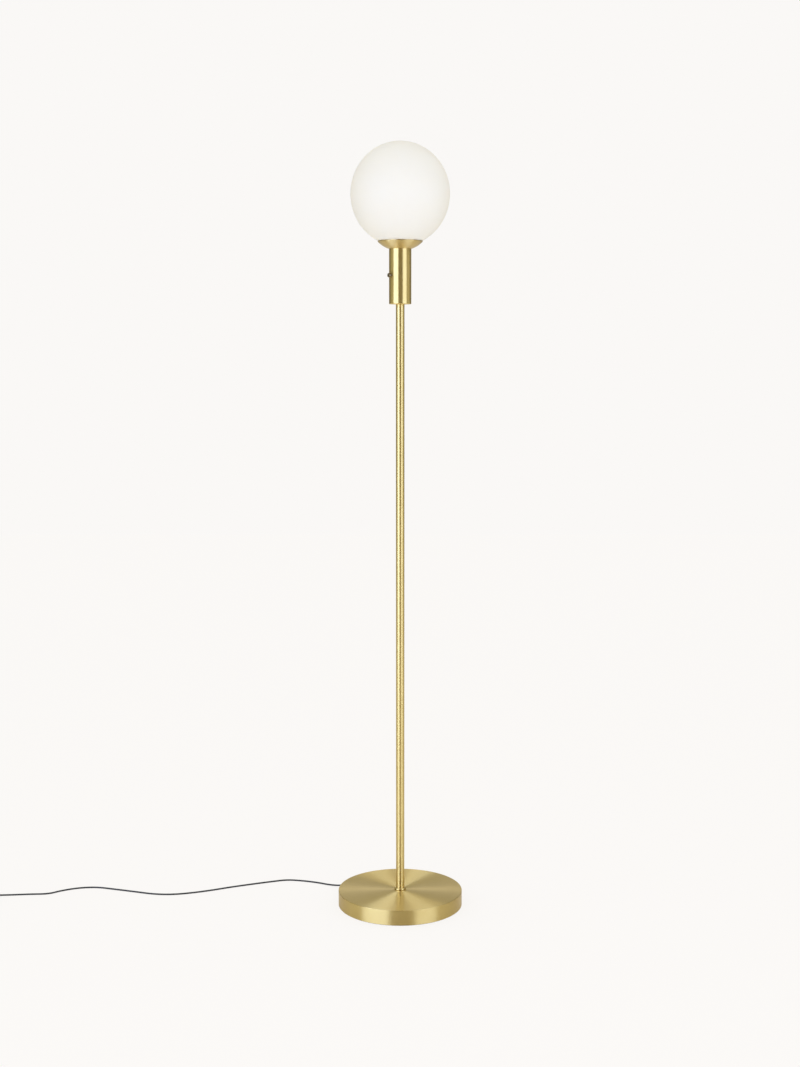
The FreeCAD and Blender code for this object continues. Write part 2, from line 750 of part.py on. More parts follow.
# ---------------------------------------------------------------- mains lead
def make_relief():
    inner = base_radius - cover_wall
    flange = rod_along_x(relief_flange, inner - relief_flange_depth, inner - 0.05)
    neck = rod_along_x(relief_neck_radius, inner - 1, base_radius + 1)
    collar = rod_along_x(relief_root_radius + 0.8, base_radius + 0.1, base_radius + 2.0)
    taper = cone_along_x(relief_root_radius, relief_tip_radius, base_radius + 0.1,
                         base_radius + relief_length)
    relief = flange.fuse([neck, collar, taper])
    for count in range(4):
        start = base_radius + 5.0 + 4.5 * count
        outside = rod_along_x(relief_root_radius + 1, start, start + 1.4)
        core = rod_along_x(relief_tip_radius, start - 1, start + 3)
        relief = relief.cut(outside.cut(core))
    bore = rod_along_x(cord_rest + lead_gap, inner - 8, base_radius + relief_length + 1)
    relief = relief.cut(bore)
    cover_side = cylinder(base_radius + 0.05, -base_height, base_height)
    shell_side = cover_side.cut(cylinder(inner - 0.05, -base_height, base_height))
    shell_side = shell_side.cut(rod_along_x(relief_neck_radius, 0, base_radius + 5))
    relief = relief.cut(shell_side)
    save("cord_relief", radial(relief, exit_azimuth, exit_height))


def make_cord():
    along = math.radians(exit_azimuth)
    tip = base_radius + relief_length
    exit_point = (tip * math.cos(along), tip * math.sin(along), exit_height)
    coil_x = lead_route[-1][0] - cord_diameter
    coil_y = lead_route[-1][1] - coil_outer_turn
    lead, lead_length = routed_tube("cord_lead", [exit_point] + lead_route, cord_rest)
    save("cord_lead", lead)

    edges, half_turns = coil_path(coil_x, coil_y)
    coil_length = sum(edge.Length for edge in edges)
    coil = pipe(edges, cord_rest)
    share = coil.Volume / (math.pi * cord_rest ** 2 * coil_length)
    print(f"cord_coil: {half_turns / 2:.1f} turns, length {coil_length:.1f} mm, volume share {share:.4f}")
    print(f"cord_coil: least gap to itself {least_self_gap(edges, cord_diameter):.2f} mm")
    save("cord_coil", coil)

    end = edges[-1].valueAt(edges[-1].LastParameter)
    print(f"cord_coil: ends at {end.x:.2f}, {end.y:.2f}, {end.z:.2f}")
    tail, tail_length = routed_tube("cord_tail", [tuple(end)] + tail_route, cord_rest)
    save("cord_tail", tail)
    total = lead_length + coil_length + tail_length
    print(f"whole lead outside the base: {total:.0f} mm")

    inner_turn = coil_outer_turn - coil_layer_steps * coil_pitch / 2
    across_low = inner_turn - cord_rest - tie_gap
    across_high = coil_outer_turn + cord_rest + tie_gap
    top = coil_level + 3 * coil_pitch + cord_rest + tie_gap
    width = across_high - across_low
    room = Part.makeBox(tie_width + 2, width, top - tie_thickness,
                        Vector(coil_x - tie_width / 2 - 1, coil_y - across_high, tie_thickness))
    band = Part.makeBox(tie_width, width + 2 * tie_thickness, top + tie_thickness,
                        Vector(coil_x - tie_width / 2, coil_y - across_high - tie_thickness, 0))
    save("cord_tie", band.cut(room))


# ---------------------------------------------------------------- plug
def make_plug():
    """Flat two-pin plug that lies beside the coil, its pins towards the front."""
    place = Vector(tail_route[-1][0], tail_route[-1][1], 0)
    level = plug_height / 2
    relief_end = -plug_relief_length
    back = relief_end
    front = back - plug_length

    relief = Part.makeCone(plug_relief_root, relief_tip_radius, plug_relief_length,
                           Vector(0, back, level), Vector(0, 1, 0))
    bore = Part.makeCylinder(cord_rest + lead_gap, 0.5, Vector(0, -0.5, level), Vector(0, 1, 0))
    save("plug_relief", moved(relief.cut(bore), place))

    half = plug_width / 2
    grip = plug_grip_width / 2
    neck = grip * 0.62
    outline = [(-neck, back), (neck, back), (grip, back - 8), (grip + 0.6, back - 20),
               (half, front + 9), (half, front), (-half, front), (-half, front + 9),
               (-grip - 0.6, back - 20), (-grip, back - 8)]
    corners = [Vector(x, y, 0) for x, y in outline + outline[:1]]
    body = Part.Face(Part.makePolygon(corners)).extrude(Vector(0, 0, plug_height))
    long_edges = [edge for edge in body.Edges
                  if abs(edge.BoundBox.ZLength - plug_height) < 0.01]
    body = body.makeFillet(1.6, long_edges)
    flat_edges = [edge for edge in body.Edges
                  if edge.BoundBox.ZLength < 0.01]
    body = body.makeChamfer(1.4, flat_edges)
    pins = []
    for side in (-1, 1):
        x = side * pin_spacing / 2
        socket = Part.makeCylinder(pin_root_radius + pin_gap, pin_depth, Vector(x, front, level), Vector(0, 1, 0))
        body = body.cut(socket)
        pin = Part.makeCylinder(pin_radius, pin_length - pin_shoulder, Vector(x, front - pin_length, level),
                                Vector(0, 1, 0))
        pin = pin.fuse(Part.makeCylinder(pin_root_radius, pin_shoulder + pin_depth,
                                         Vector(x, front - pin_shoulder, level), Vector(0, 1, 0)))
        tip_edges = [edge for edge in pin.Edges
                     if abs(edge.BoundBox.YMin - (front - pin_length)) < 0.01
                     and edge.BoundBox.YLength < 0.01]
        pins.append(moved(pin.makeFillet(0.9, tip_edges), place))
    save("plug_body", moved(body, place))
    save("plug_pins", *pins)


os.makedirs("parts", exist_ok=True)
nipple_end = make_base()
make_pole()
make_head()
switch_middle = make_switch()
make_holder()
make_cup()
make_globe()
make_bulb()
make_wiring(nipple_end, switch_middle)
make_relief()
make_cord()
make_plug()
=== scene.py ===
import math

import bmesh
import bpy
from mathutils import Matrix, Vector


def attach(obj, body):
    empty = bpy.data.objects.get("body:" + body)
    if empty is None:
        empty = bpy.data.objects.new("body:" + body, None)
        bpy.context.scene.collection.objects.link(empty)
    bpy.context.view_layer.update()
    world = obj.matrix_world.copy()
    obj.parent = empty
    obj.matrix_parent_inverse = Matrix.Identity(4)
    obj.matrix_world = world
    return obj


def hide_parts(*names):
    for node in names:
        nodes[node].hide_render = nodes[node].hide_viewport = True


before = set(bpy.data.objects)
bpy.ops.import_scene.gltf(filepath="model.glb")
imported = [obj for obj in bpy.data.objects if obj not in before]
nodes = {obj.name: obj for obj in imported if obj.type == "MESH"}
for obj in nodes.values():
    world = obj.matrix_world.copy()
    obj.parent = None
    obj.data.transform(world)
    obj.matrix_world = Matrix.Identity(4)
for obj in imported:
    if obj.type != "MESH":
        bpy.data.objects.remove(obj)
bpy.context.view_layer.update()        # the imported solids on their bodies
scene = bpy.context.scene
mm = 0.001
print("frame loaded,", len(nodes), "nodes")


def linkObject(label, data):
    made = bpy.data.objects.new(label, data)
    scene.collection.objects.link(made)
    return made


# camera, fitted to the outlines of base, pole, tube and globe
cameraValues = {
    "place": (-0.0004, -3.1134, 1.1358),
    "tilt": 83.62,
    "lens": 51.36,
}
cameraData = bpy.data.cameras.new("photoCamera")
cameraData.lens = cameraValues["lens"]
cameraData.clip_end = 60.0
camera = linkObject("photoCamera", cameraData)
camera.location = cameraValues["place"]
camera.rotation_euler = (math.radians(cameraValues["tilt"]), 0.0, 0.0)
scene.camera = camera
print("camera placed")


# node helpers, for materials and for geometry

def addNode(tree, kind, inputs=None, **settings):
    node = tree.nodes.new(kind)
    for name, value in settings.items():
        setattr(node, name, value)
    for name, value in (inputs or {}).items():
        socket = node.inputs[name]
        if isinstance(value, bpy.types.NodeSocket):
            tree.links.new(value, socket)
        else:
            socket.default_value = value
    return node


def mathNode(tree, operation, first, second=None, third=None):
    inputs = {0: first}
    if second is not None:
        inputs[1] = second
    if third is not None:
        inputs[2] = third
    return addNode(tree, "ShaderNodeMath", inputs, operation=operation).outputs[0]


def clearedTree(owner):
    owner.use_nodes = True
    owner.node_tree.nodes.clear()
    return owner.node_tree


def newMaterial(label):
    material = bpy.data.materials.new(label)
    tree = clearedTree(material)
    output = addNode(tree, "ShaderNodeOutputMaterial")
    shader = addNode(tree, "ShaderNodeBsdfPrincipled")
    tree.links.new(shader.outputs[0], output.inputs[0])
    return material, tree, shader


def objectPoint(tree, axis=None):
    # axis is the matrix that put a turned piece in its place
    point = addNode(tree, "ShaderNodeTexCoord").outputs["Object"]
    if axis is None:
        return point
    back = axis.inverted()
    mapping = addNode(tree, "ShaderNodeMapping", {"Vector": point}, vector_type="POINT")
    mapping.inputs["Location"].default_value = back.to_translation()
    mapping.inputs["Rotation"].default_value = back.to_euler()
    return mapping.outputs[0]


def noise(tree, point, scale, detail=3.0, roughness=0.5):
    return addNode(tree, "ShaderNodeTexNoise",
                   {"Vector": point, "Scale": scale, "Detail": detail, "Roughness": roughness}).outputs[0]


def spread(tree, factor, low, high):
    # a 0 to 1 pattern, brought to a range
    return addNode(tree, "ShaderNodeMapRange", {"Value": factor, "From Min": 0.3, "From Max": 0.7,
                                                "To Min": low, "To Max": high}).outputs[0]


def blendColour(tree, factor, first, second):
    # each colour is a socket or three numbers
    mix = tree.nodes.new("ShaderNodeMix")
    mix.data_type = "RGBA"
    tree.links.new(factor, mix.inputs[0])
    for socket, colour in ((mix.inputs[6], first), (mix.inputs[7], second)):
        if isinstance(colour, bpy.types.NodeSocket):
            tree.links.new(colour, socket)
        else:
            socket.default_value = (*colour, 1.0)
    return mix.outputs[2]


def bumpNode(tree, height, strength, distance, normal=None):
    inputs = {"Height": height, "Strength": strength, "Distance": distance}
    if normal is not None:
        inputs["Normal"] = normal
    return addNode(tree, "ShaderNodeBump", inputs).outputs[0]


# materials

def spunBrass(label, values, axis=None):
    # brass turned on a lathe, then lacquered: fine rings round the axis, softer along it
    material, tree, shader = newMaterial(label)
    point = objectPoint(tree, axis)
    split = addNode(tree, "ShaderNodeSeparateXYZ", {0: point}).outputs
    flat = addNode(tree, "ShaderNodeCombineXYZ", {0: split[0], 1: split[1]}).outputs[0]
    radius = addNode(tree, "ShaderNodeVectorMath", {0: flat}, operation="LENGTH").outputs[1]
    rings = addNode(tree, "ShaderNodeCombineXYZ", {0: radius, 1: split[2]}).outputs[0]
    lines = noise(tree, rings, values["lineScale"], 4.0, 0.7)
    clouds = noise(tree, point, values["cloudScale"], 2.0)
    tint = blendColour(tree, spread(tree, clouds, 0.0, 1.0), values["colour"], values["deeper"])
    tree.links.new(tint, shader.inputs["Base Color"])
    grain = spread(tree, lines, values["roughness"][0], values["roughness"][1])
    handled = mathNode(tree, "MULTIPLY_ADD", clouds, values["handled"], grain)
    tree.links.new(handled, shader.inputs["Roughness"])
    tree.links.new(bumpNode(tree, lines, values["bump"], 0.0001), shader.inputs["Normal"])
    shader.inputs["Metallic"].default_value = 1.0
    shader.inputs["Coat Weight"].default_value = values["coat"]
    shader.inputs["Coat Roughness"].default_value = values["coatRoughness"]
    if values["anisotropic"]:
        shader.inputs["Anisotropic"].default_value = values["anisotropic"]
        shader.inputs["Anisotropic Rotation"].default_value = 0.25
        tangent = addNode(tree, "ShaderNodeTangent", direction_type="RADIAL", axis="Z")
        tree.links.new(tangent.outputs[0], shader.inputs["Tangent"])
    return material


def plainMetal(label, colour, deeper, roughness, scale, bump):
    material, tree, shader = newMaterial(label)
    point = objectPoint(tree)
    grain = noise(tree, point, scale, 4.0)
    tree.links.new(blendColour(tree, grain, colour, deeper), shader.inputs["Base Color"])
    tree.links.new(spread(tree, grain, roughness * 0.8, roughness * 1.2), shader.inputs["Roughness"])
    tree.links.new(bumpNode(tree, grain, bump, 0.0002), shader.inputs["Normal"])
    shader.inputs["Metallic"].default_value = 1.0
    return material


def mouldedPlastic(label, colour, deeper, roughness, scale=1800.0, bump=0.15):
    material, tree, shader = newMaterial(label)
    point = objectPoint(tree)
    grain = noise(tree, point, scale, 3.0)
    clouds = noise(tree, point, 90.0, 2.0)
    tree.links.new(blendColour(tree, clouds, colour, deeper), shader.inputs["Base Color"])
    tree.links.new(spread(tree, clouds, roughness - 0.05, roughness + 0.05), shader.inputs["Roughness"])
    tree.links.new(bumpNode(tree, grain, bump, 0.0001), shader.inputs["Normal"])
    return material


def feltCloth(label, colour, deeper, scale):
    material, tree, shader = newMaterial(label)
    point = objectPoint(tree)
    fibres = noise(tree, point, scale, 6.0, 0.7)
    tree.links.new(blendColour(tree, fibres, colour, deeper), shader.inputs["Base Color"])
    tree.links.new(bumpNode(tree, fibres, 0.6, 0.0004), shader.inputs["Normal"])
    shader.inputs["Roughness"].default_value = 0.95
    shader.inputs["Sheen Weight"].default_value = 0.4
    return material


def castMetal(label, values):
    material, tree, shader = newMaterial(label)
    point = objectPoint(tree)
    lumps = noise(tree, point, values["lumps"], 3.0)
    pits = noise(tree, point, values["pits"], 5.0, 0.65)
    tree.links.new(blendColour(tree, pits, values["colour"], values["deeper"]), shader.inputs["Base Color"])
    tree.links.new(spread(tree, pits, 0.5, 0.75), shader.inputs["Roughness"])
    rough = bumpNode(tree, lumps, 0.3, 0.001)
    tree.links.new(bumpNode(tree, pits, 0.4, 0.0004, rough), shader.inputs["Normal"])
    shader.inputs["Metallic"].default_value = 0.3
    return material


brassValues = {
    "colour": (0.845, 0.655, 0.26),
    "deeper": (0.80, 0.61, 0.225),
    "roughness": (0.30, 0.35),
    "handled": 0.03,
    "lineScale": 2600.0,
    "cloudScale": 14.0,
    "bump": 0.0,
    "coat": 0.25,
    "coatRoughness": 0.12,
    "anisotropic": 1.0,
}
plateValues = dict(brassValues, roughness=(0.36, 0.42), lineScale=1500.0, bump=0.05)
# a little darker than the other brass: painted shade on the cup
paintedShadeCupValues = dict(brassValues, colour=(0.80, 0.62, 0.27), deeper=(0.75, 0.575, 0.235), roughness=(0.34, 0.40),
                     lineScale=1800.0)
# the brass with its colour cut to under a third: painted shade on the knob and its nut
paintedShadeKnobValues = dict(brassValues, colour=(0.24, 0.18, 0.09), deeper=(0.19, 0.14, 0.07), roughness=(0.3, 0.38),
                  lineScale=5000.0, anisotropic=0.0)

tubeBrass = spunBrass("tubeBrass", brassValues)
plateBrass = spunBrass("plateBrass", plateValues)
paintedShadeCupBrass = spunBrass("paintedShadeCupBrass", paintedShadeCupValues)
turnedBrass = plainMetal("turnedBrass", (0.78, 0.57, 0.24), (0.70, 0.49, 0.19), 0.3, 2500.0, 0.1)
zincSteel = plainMetal("zincSteel", (0.62, 0.63, 0.66), (0.50, 0.51, 0.52), 0.35, 900.0, 0.1)
springSteel = plainMetal("springSteel", (0.55, 0.55, 0.56), (0.44, 0.44, 0.45), 0.3, 1400.0, 0.1)
nickelShell = plainMetal("nickelShell", (0.70, 0.69, 0.66), (0.60, 0.59, 0.57), 0.25, 1200.0, 0.08)
nickelPins = plainMetal("nickelPins", (0.74, 0.72, 0.68), (0.66, 0.64, 0.60), 0.2, 2500.0, 0.06)
castIron = castMetal("castIron", {"colour": (0.05, 0.05, 0.052), "deeper": (0.025, 0.025, 0.026),
                                  "lumps": 60.0, "pits": 900.0})
felt = feltCloth("felt", (0.02, 0.02, 0.02), (0.045, 0.045, 0.045), 1500.0)
tieBand = feltCloth("tieBand", (0.012, 0.012, 0.013), (0.03, 0.03, 0.032), 2600.0)
blackPlastic = mouldedPlastic("blackPlastic", (0.02, 0.02, 0.021), (0.028, 0.028, 0.029), 0.42)
blackRubber = mouldedPlastic("blackRubber", (0.016, 0.016, 0.017), (0.024, 0.024, 0.025), 0.5)
blackSheath = mouldedPlastic("blackSheath", (0.014, 0.014, 0.015), (0.022, 0.022, 0.022), 0.45, 3000.0, 0.1)
porcelain = mouldedPlastic("porcelain", (0.80, 0.78, 0.72), (0.76, 0.74, 0.68), 0.2, 300.0, 0.05)
silicone = mouldedPlastic("silicone", (0.66, 0.66, 0.64), (0.58, 0.58, 0.56), 0.55)
blueCore = mouldedPlastic("blueCore", (0.02, 0.10, 0.42), (0.015, 0.08, 0.34), 0.4)
brownCore = mouldedPlastic("brownCore", (0.12, 0.045, 0.015), (0.09, 0.035, 0.012), 0.4)


def opalGlass(label, values):
    # white cased glass with a silky etched skin
    material, tree, shader = newMaterial(label)
    point = objectPoint(tree)
    etch = noise(tree, point, values["etchScale"], 3.0)
    clouds = noise(tree, point, 9.0, 2.0)
    # the base colour darkens and turns warmer towards the outline, by facing: painted shade at the rim
    facing = addNode(tree, "ShaderNodeLayerWeight", {"Blend": 0.5}).outputs["Facing"]
    rim = mathNode(tree, "POWER", facing, values["paintedRimShadePower"])
    middle = blendColour(tree, clouds, values["colour"], values["deeper"])
    tree.links.new(blendColour(tree, rim, middle, values["rim"]), shader.inputs["Base Color"])
    tree.links.new(spread(tree, etch, values["roughness"] - 0.04, values["roughness"] + 0.04),
                   shader.inputs["Roughness"])
    tree.links.new(bumpNode(tree, etch, 0.04, 0.0001), shader.inputs["Normal"])
    shader.inputs["Subsurface Weight"].default_value = values["subsurface"]
    shader.inputs["Subsurface Radius"].default_value = (1.0, 0.85, 0.7)
    shader.inputs["Subsurface Scale"].default_value = values["depth"]
    shader.inputs["IOR"].default_value = 1.5
    shader.inputs["Specular IOR Level"].default_value = values["gloss"]
    return material


opalValues = {
    "colour": (0.995, 0.96, 0.91),
    "deeper": (0.99, 0.95, 0.89),
    # colour at the outline, and how fast it comes in: painted shade and warm tint at the rim
    "rim": (0.915, 0.85, 0.71),
    "paintedRimShadePower": 1.1,
    "gloss": 0.25,
    "roughness": 0.6,
    "etchScale": 1600.0,
    "subsurface": 0.5,
    "depth": 0.02,
}
opal = opalGlass("opalGlass", opalValues)
# the bulb's glass has the same painted shade at its outline, in its own colours
frosted = opalGlass("frostedGlass", dict(opalValues, colour=(0.86, 0.85, 0.80), deeper=(0.84, 0.83, 0.78),
                                         rim=(0.78, 0.77, 0.72), gloss=0.5, roughness=0.35, depth=0.006))
print("materials made")


# the mains lead, from its strain relief over the floor to the coil and the plug

leadValues = {
    "length": 1.99,
    "diameter": 0.0035,
    "exit": (-0.12299, 0.09268, 0.007),
    "route": [
        (-0.1270, 0.0955, 0.0066), (-0.1370, 0.1005, 0.0042), (-0.1560, 0.1107, 0.0023),
        (-0.181, 0.126, 0.00175), (-0.215, 0.138, 0.00175), (-0.250, 0.1445, 0.00175), (-0.284, 0.132, 0.00175),
        (-0.326, 0.1153, 0.00175), (-0.370, 0.0965, 0.00175), (-0.408, 0.077, 0.00175),
        (-0.450, 0.060, 0.00175), (-0.490, 0.050, 0.00175), (-0.530, 0.0525, 0.00175),
        (-0.574, 0.0683, 0.00175), (-0.620, 0.0835, 0.00175), (-0.660, 0.097, 0.00175),
        (-0.700, 0.092, 0.00175), (-0.734, 0.074, 0.00175), (-0.756, 0.054, 0.00175),
        (-0.794, 0.0525, 0.00175), (-0.834, 0.048, 0.00175), (-0.861, 0.0449, 0.0022),
        (-0.875, 0.0449, 0.00255), (-0.8865, 0.0449, 0.00255),
    ],
    "tail": [
        (-0.8935, 0.04258, 0.0165), (-0.898, 0.042575, 0.0165), (-0.909, 0.0416, 0.0149), (-0.9225, 0.0365, 0.0114),
        (-0.9315, 0.026, 0.0083), (-0.9355, 0.013, 0.007), (-0.936, 0.002, 0.0068),
    ],
    "coilMiddle": (-0.890, 0.0203),
    "coilRadius": 0.0246,
    "coilLevel": 0.00255,
    "turnPitch": 0.00465,
    "layers": (4, 4, 4, 3),      # half turns in each layer
    "pointsPerTurn": 16,
}


def coilPoints(values):
    # spirals in and out again, layer on layer, with a rise of one pitch between them
    perHalf = values["pointsPerTurn"] // 2
    step = math.pi / perHalf
    pitch = values["turnPitch"]
    runs = []
    for layer, halfTurns in enumerate(values["layers"]):
        inOut = -pitch / 2 if layer % 2 == 0 else pitch / 2
        if layer:
            runs.append((0.0, pitch))
        runs += [(inOut, 0.0)] * halfTurns
    points = []
    radius, level = values["coilRadius"], values["coilLevel"]
    for radiusStep, levelStep in runs:
        for place in range(perHalf):
            share = (place + 0.5) / perHalf
            angle = (len(points) + 0.5) * step
            reach = (radius + radiusStep * share) / math.cos(step / 2)
            points.append((values["coilMiddle"][0] - reach * math.sin(angle),
                           values["coilMiddle"][1] + reach * math.cos(angle),
                           level + levelStep * share))
        radius += radiusStep
        level += levelStep
    return points


def smoothCord(label, points, diameter, material):
    curve = bpy.data.curves.new(label, "CURVE")
    curve.dimensions = "3D"
    curve.bevel_depth = diameter / 2
    curve.bevel_resolution = 4
    curve.resolution_u = 8
    curve.use_fill_caps = True
    spline = curve.splines.new("NURBS")
    spline.points.add(len(points) - 1)
    for place, point in zip(spline.points, points):
        place.co = (*point, 1.0)
    spline.order_u = 3
    spline.use_endpoint_u = True
    curve.materials.append(material)
    return linkObject(label, curve)


leadPoints = [leadValues["exit"], *leadValues["route"], *coilPoints(leadValues), *leadValues["tail"]]
mainsLead = smoothCord("mainsLead", leadPoints, leadValues["diameter"], blackSheath)
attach(mainsLead, "stand")
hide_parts("cord_lead", "cord_coil", "cord_tail")
print("lead laid out,", len(leadPoints), "points")


# geometry trees with named inputs, which end in real meshes with their material

def startNodes(label, wanted):
    tree = bpy.data.node_groups.new(label, "GeometryNodeTree")
    tree.is_modifier = True
    for name, kind in wanted:
        tree.interface.new_socket(name, in_out="INPUT", socket_type="NodeSocket" + kind)
    tree.interface.new_socket("Pieces", in_out="OUTPUT", socket_type="NodeSocketGeometry")
    return tree, addNode(tree, "NodeGroupInput").outputs


def closeNodes(tree, pieces, finish):
    real = addNode(tree, "GeometryNodeRealizeInstances", {0: pieces}).outputs[0]
    dressed = addNode(tree, "GeometryNodeSetMaterial", {0: real, "Material": finish}).outputs[0]
    addNode(tree, "NodeGroupOutput", {"Pieces": dressed})
    return tree


# turned pieces: one outline, turned about the Z axis

creaseAngle = math.radians(38.0)      # edges folded more than this stay sharp
weldDistance = 0.000002


def makeTurnedTree():
    tree, given = startNodes("turnedPiece", [
        ("Outline", "Geometry"), ("Segments", "Int"), ("Flutes", "Int"), ("Flute Depth", "Float"),
        ("Sharp Angle", "Float"), ("Finish", "Material")])
    count = addNode(tree, "GeometryNodeAttributeDomainSize", {0: given["Outline"]}).outputs["Point Count"]
    columns = mathNode(tree, "ADD", given["Segments"], 1.0)
    grid = addNode(tree, "GeometryNodeMeshGrid", {"Size X": 1.0, "Size Y": 1.0,
                                                  "Vertices X": columns, "Vertices Y": count}).outputs[0]
    spot = addNode(tree, "GeometryNodeInputPosition").outputs[0]
    split = addNode(tree, "ShaderNodeSeparateXYZ", {0: spot}).outputs
    along = mathNode(tree, "MULTIPLY", mathNode(tree, "ADD", split[1], 0.5), mathNode(tree, "SUBTRACT", count, 1.0))
    index = mathNode(tree, "ROUND", along)
    corner = addNode(tree, "GeometryNodeSampleIndex", {0: given["Outline"], "Value": spot, "Index": index},
                     data_type="FLOAT_VECTOR", domain="POINT").outputs[0]
    named = addNode(tree, "GeometryNodeInputNamedAttribute", {"Name": "flute"}, data_type="FLOAT").outputs[0]
    flute = addNode(tree, "GeometryNodeSampleIndex", {0: given["Outline"], "Value": named, "Index": index},
                    data_type="FLOAT", domain="POINT").outputs[0]
    outline = addNode(tree, "ShaderNodeSeparateXYZ", {0: corner}).outputs
    turn = mathNode(tree, "MULTIPLY", mathNode(tree, "ADD", split[0], 0.5), 2 * math.pi)
    wave = mathNode(tree, "COSINE", mathNode(tree, "MULTIPLY", turn, given["Flutes"]))
    hollow = mathNode(tree, "POWER", mathNode(tree, "MULTIPLY_ADD", wave, 0.5, 0.5), 2.0)
    cut = mathNode(tree, "MULTIPLY", mathNode(tree, "MULTIPLY", hollow, flute), given["Flute Depth"])
    reach = mathNode(tree, "SUBTRACT", outline[0], cut)
    place = addNode(tree, "ShaderNodeCombineXYZ", {
        0: mathNode(tree, "MULTIPLY", reach, mathNode(tree, "COSINE", turn)),
        1: mathNode(tree, "MULTIPLY", reach, mathNode(tree, "SINE", turn)),
        2: outline[2]}).outputs[0]
    moved = addNode(tree, "GeometryNodeSetPosition", {"Geometry": grid, "Position": place}).outputs[0]
    merged = addNode(tree, "GeometryNodeMergeByDistance", {0: moved, "Distance": weldDistance}).outputs[0]
    smooth = addNode(tree, "GeometryNodeSetShadeSmooth", {"Geometry": merged}).outputs[0]
    angle = addNode(tree, "GeometryNodeInputMeshEdgeAngle").outputs["Unsigned Angle"]
    folded = mathNode(tree, "GREATER_THAN", angle, given["Sharp Angle"])
    creased = addNode(tree, "GeometryNodeSetShadeSmooth", {"Geometry": smooth, "Selection": folded,
                                                           "Shade Smooth": False}, domain="EDGE").outputs[0]
    return closeNodes(tree, creased, given["Finish"])


turnedTree = makeTurnedTree()


def setInputs(modifier, values):
    for item in modifier.node_group.interface.items_tree:
        if item.item_type == "SOCKET" and item.in_out == "INPUT" and item.name in values:
            modifier[item.identifier] = values[item.name]


def bakeNodes(piece, modifier):
    depsgraph = bpy.context.evaluated_depsgraph_get()
    mesh = bpy.data.meshes.new_from_object(piece.evaluated_get(depsgraph), depsgraph=depsgraph)
    mesh.name = piece.name
    piece.modifiers.remove(modifier)
    piece.data = mesh
    return piece


def setUp(piece, bodyName, slotName, *replaced):
    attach(piece, bodyName)
    if replaced:
        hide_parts(*replaced)
    return piece


def turnedPiece(label, outline, material, segments=128, flutes=0, fluteDepth=0.0, fluted=None, axis=None):
    # outline: (radius, height) in millimetres, outer side upwards; fluted: heights between which the flutes lie
    mesh = bpy.data.meshes.new(label + "Outline")
    mesh.from_pydata([(r * mm, 0.0, z * mm) for r, z in outline],
                     [(place, place + 1) for place in range(len(outline) - 1)], [])
    depth = mesh.attributes.new("flute", "FLOAT", "POINT")
    for place, (r, z) in enumerate(outline):
        depth.data[place].value = 1.0 if fluted and fluted[0] <= z <= fluted[1] and r > fluted[2] else 0.0
    piece = linkObject(label, mesh)
    modifier = piece.modifiers.new("turned", "NODES")
    modifier.node_group = turnedTree
    setInputs(modifier, {"Segments": segments, "Flutes": flutes, "Flute Depth": fluteDepth * mm,
                         "Sharp Angle": creaseAngle, "Finish": material})
    bakeNodes(piece, modifier)
    if axis is not None:
        piece.data.transform(axis)
    return piece


def meshPiece(label, vertices, faces, material=None):
    mesh = bpy.data.meshes.new(label)
    mesh.from_pydata(vertices, [], faces)
    if material:
        mesh.materials.append(material)
    return linkObject(label, mesh)


def faceOut(mesh):
    shape = bmesh.new()
    shape.from_mesh(mesh)
    bmesh.ops.recalc_face_normals(shape, faces=shape.faces)
    shape.to_mesh(mesh)
    shape.free()


def arcPoints(centre, radius, start, end, steps, squash=1.0):
    # start and end in degrees
    turns = [math.radians(start + (end - start) * step / steps) for step in range(steps + 1)]
    return [(centre[0] + radius * math.cos(turn), centre[1] + radius * squash * math.sin(turn)) for turn in turns]


def roundedOutline(corners, closed=False):
    # corners: (radius, height) or (radius, height, fillet); a support point beside each arc keeps flats flat
    points = []
    for place, corner in enumerate(corners):
        here = Vector(corner[:2])
        if len(corner) == 2:
            points.append(here)
            continue
        fillet = corner[2]
        back = (Vector(corners[place - 1][:2]) - here).normalized()
        ahead = (Vector(corners[(place + 1) % len(corners)][:2]) - here).normalized()
        half = back.angle(ahead) / 2
        reach = fillet / math.tan(half)
        middle = here + (back + ahead).normalized() * (fillet / math.sin(half))
        start = here + back * reach - middle
        end = here + ahead * reach - middle
        first = math.degrees(math.atan2(start.y, start.x))
        sweep = math.degrees(math.pi - 2 * half)
        if start.x * end.y - start.y * end.x < 0:
            sweep = -sweep
        points.append(here + back * (reach + 0.4 * fillet))
        points += [Vector(point) for point in arcPoints(middle, fillet, first, first + sweep, 6)]
        points.append(here + ahead * (reach + 0.4 * fillet))
    if closed:
        points.append(points[0].copy())
    return [(point.x, point.y) for point in points]


# base: spun cover and the collar at the pole's foot
baseValues = {
    "radius": 130.0,
    "height": 32.0,
    "wall": 1.2,
    "lift": 1.0,
    "edge": 0.9,
    "hole": 5.05,
    "segments": 256,
}


def makeBase(values):
    outer, top, wall = values["radius"], values["height"], values["wall"]
    cover = turnedPiece("baseCover", roundedOutline([
        (outer - wall, values["lift"]), (outer, values["lift"], 0.35), (outer, top, values["edge"]),
        (values["hole"], top), (values["hole"], top - wall), (outer - wall, top - wall, 0.5)], closed=True),
        plateBrass, values["segments"])
    setUp(cover, "stand", "satin_brass", "base_cover")


collarValues = {
    "bore": 8.85,
    "radius": 12.4,
    "foot": 32.0,
    "height": 4.6,
}


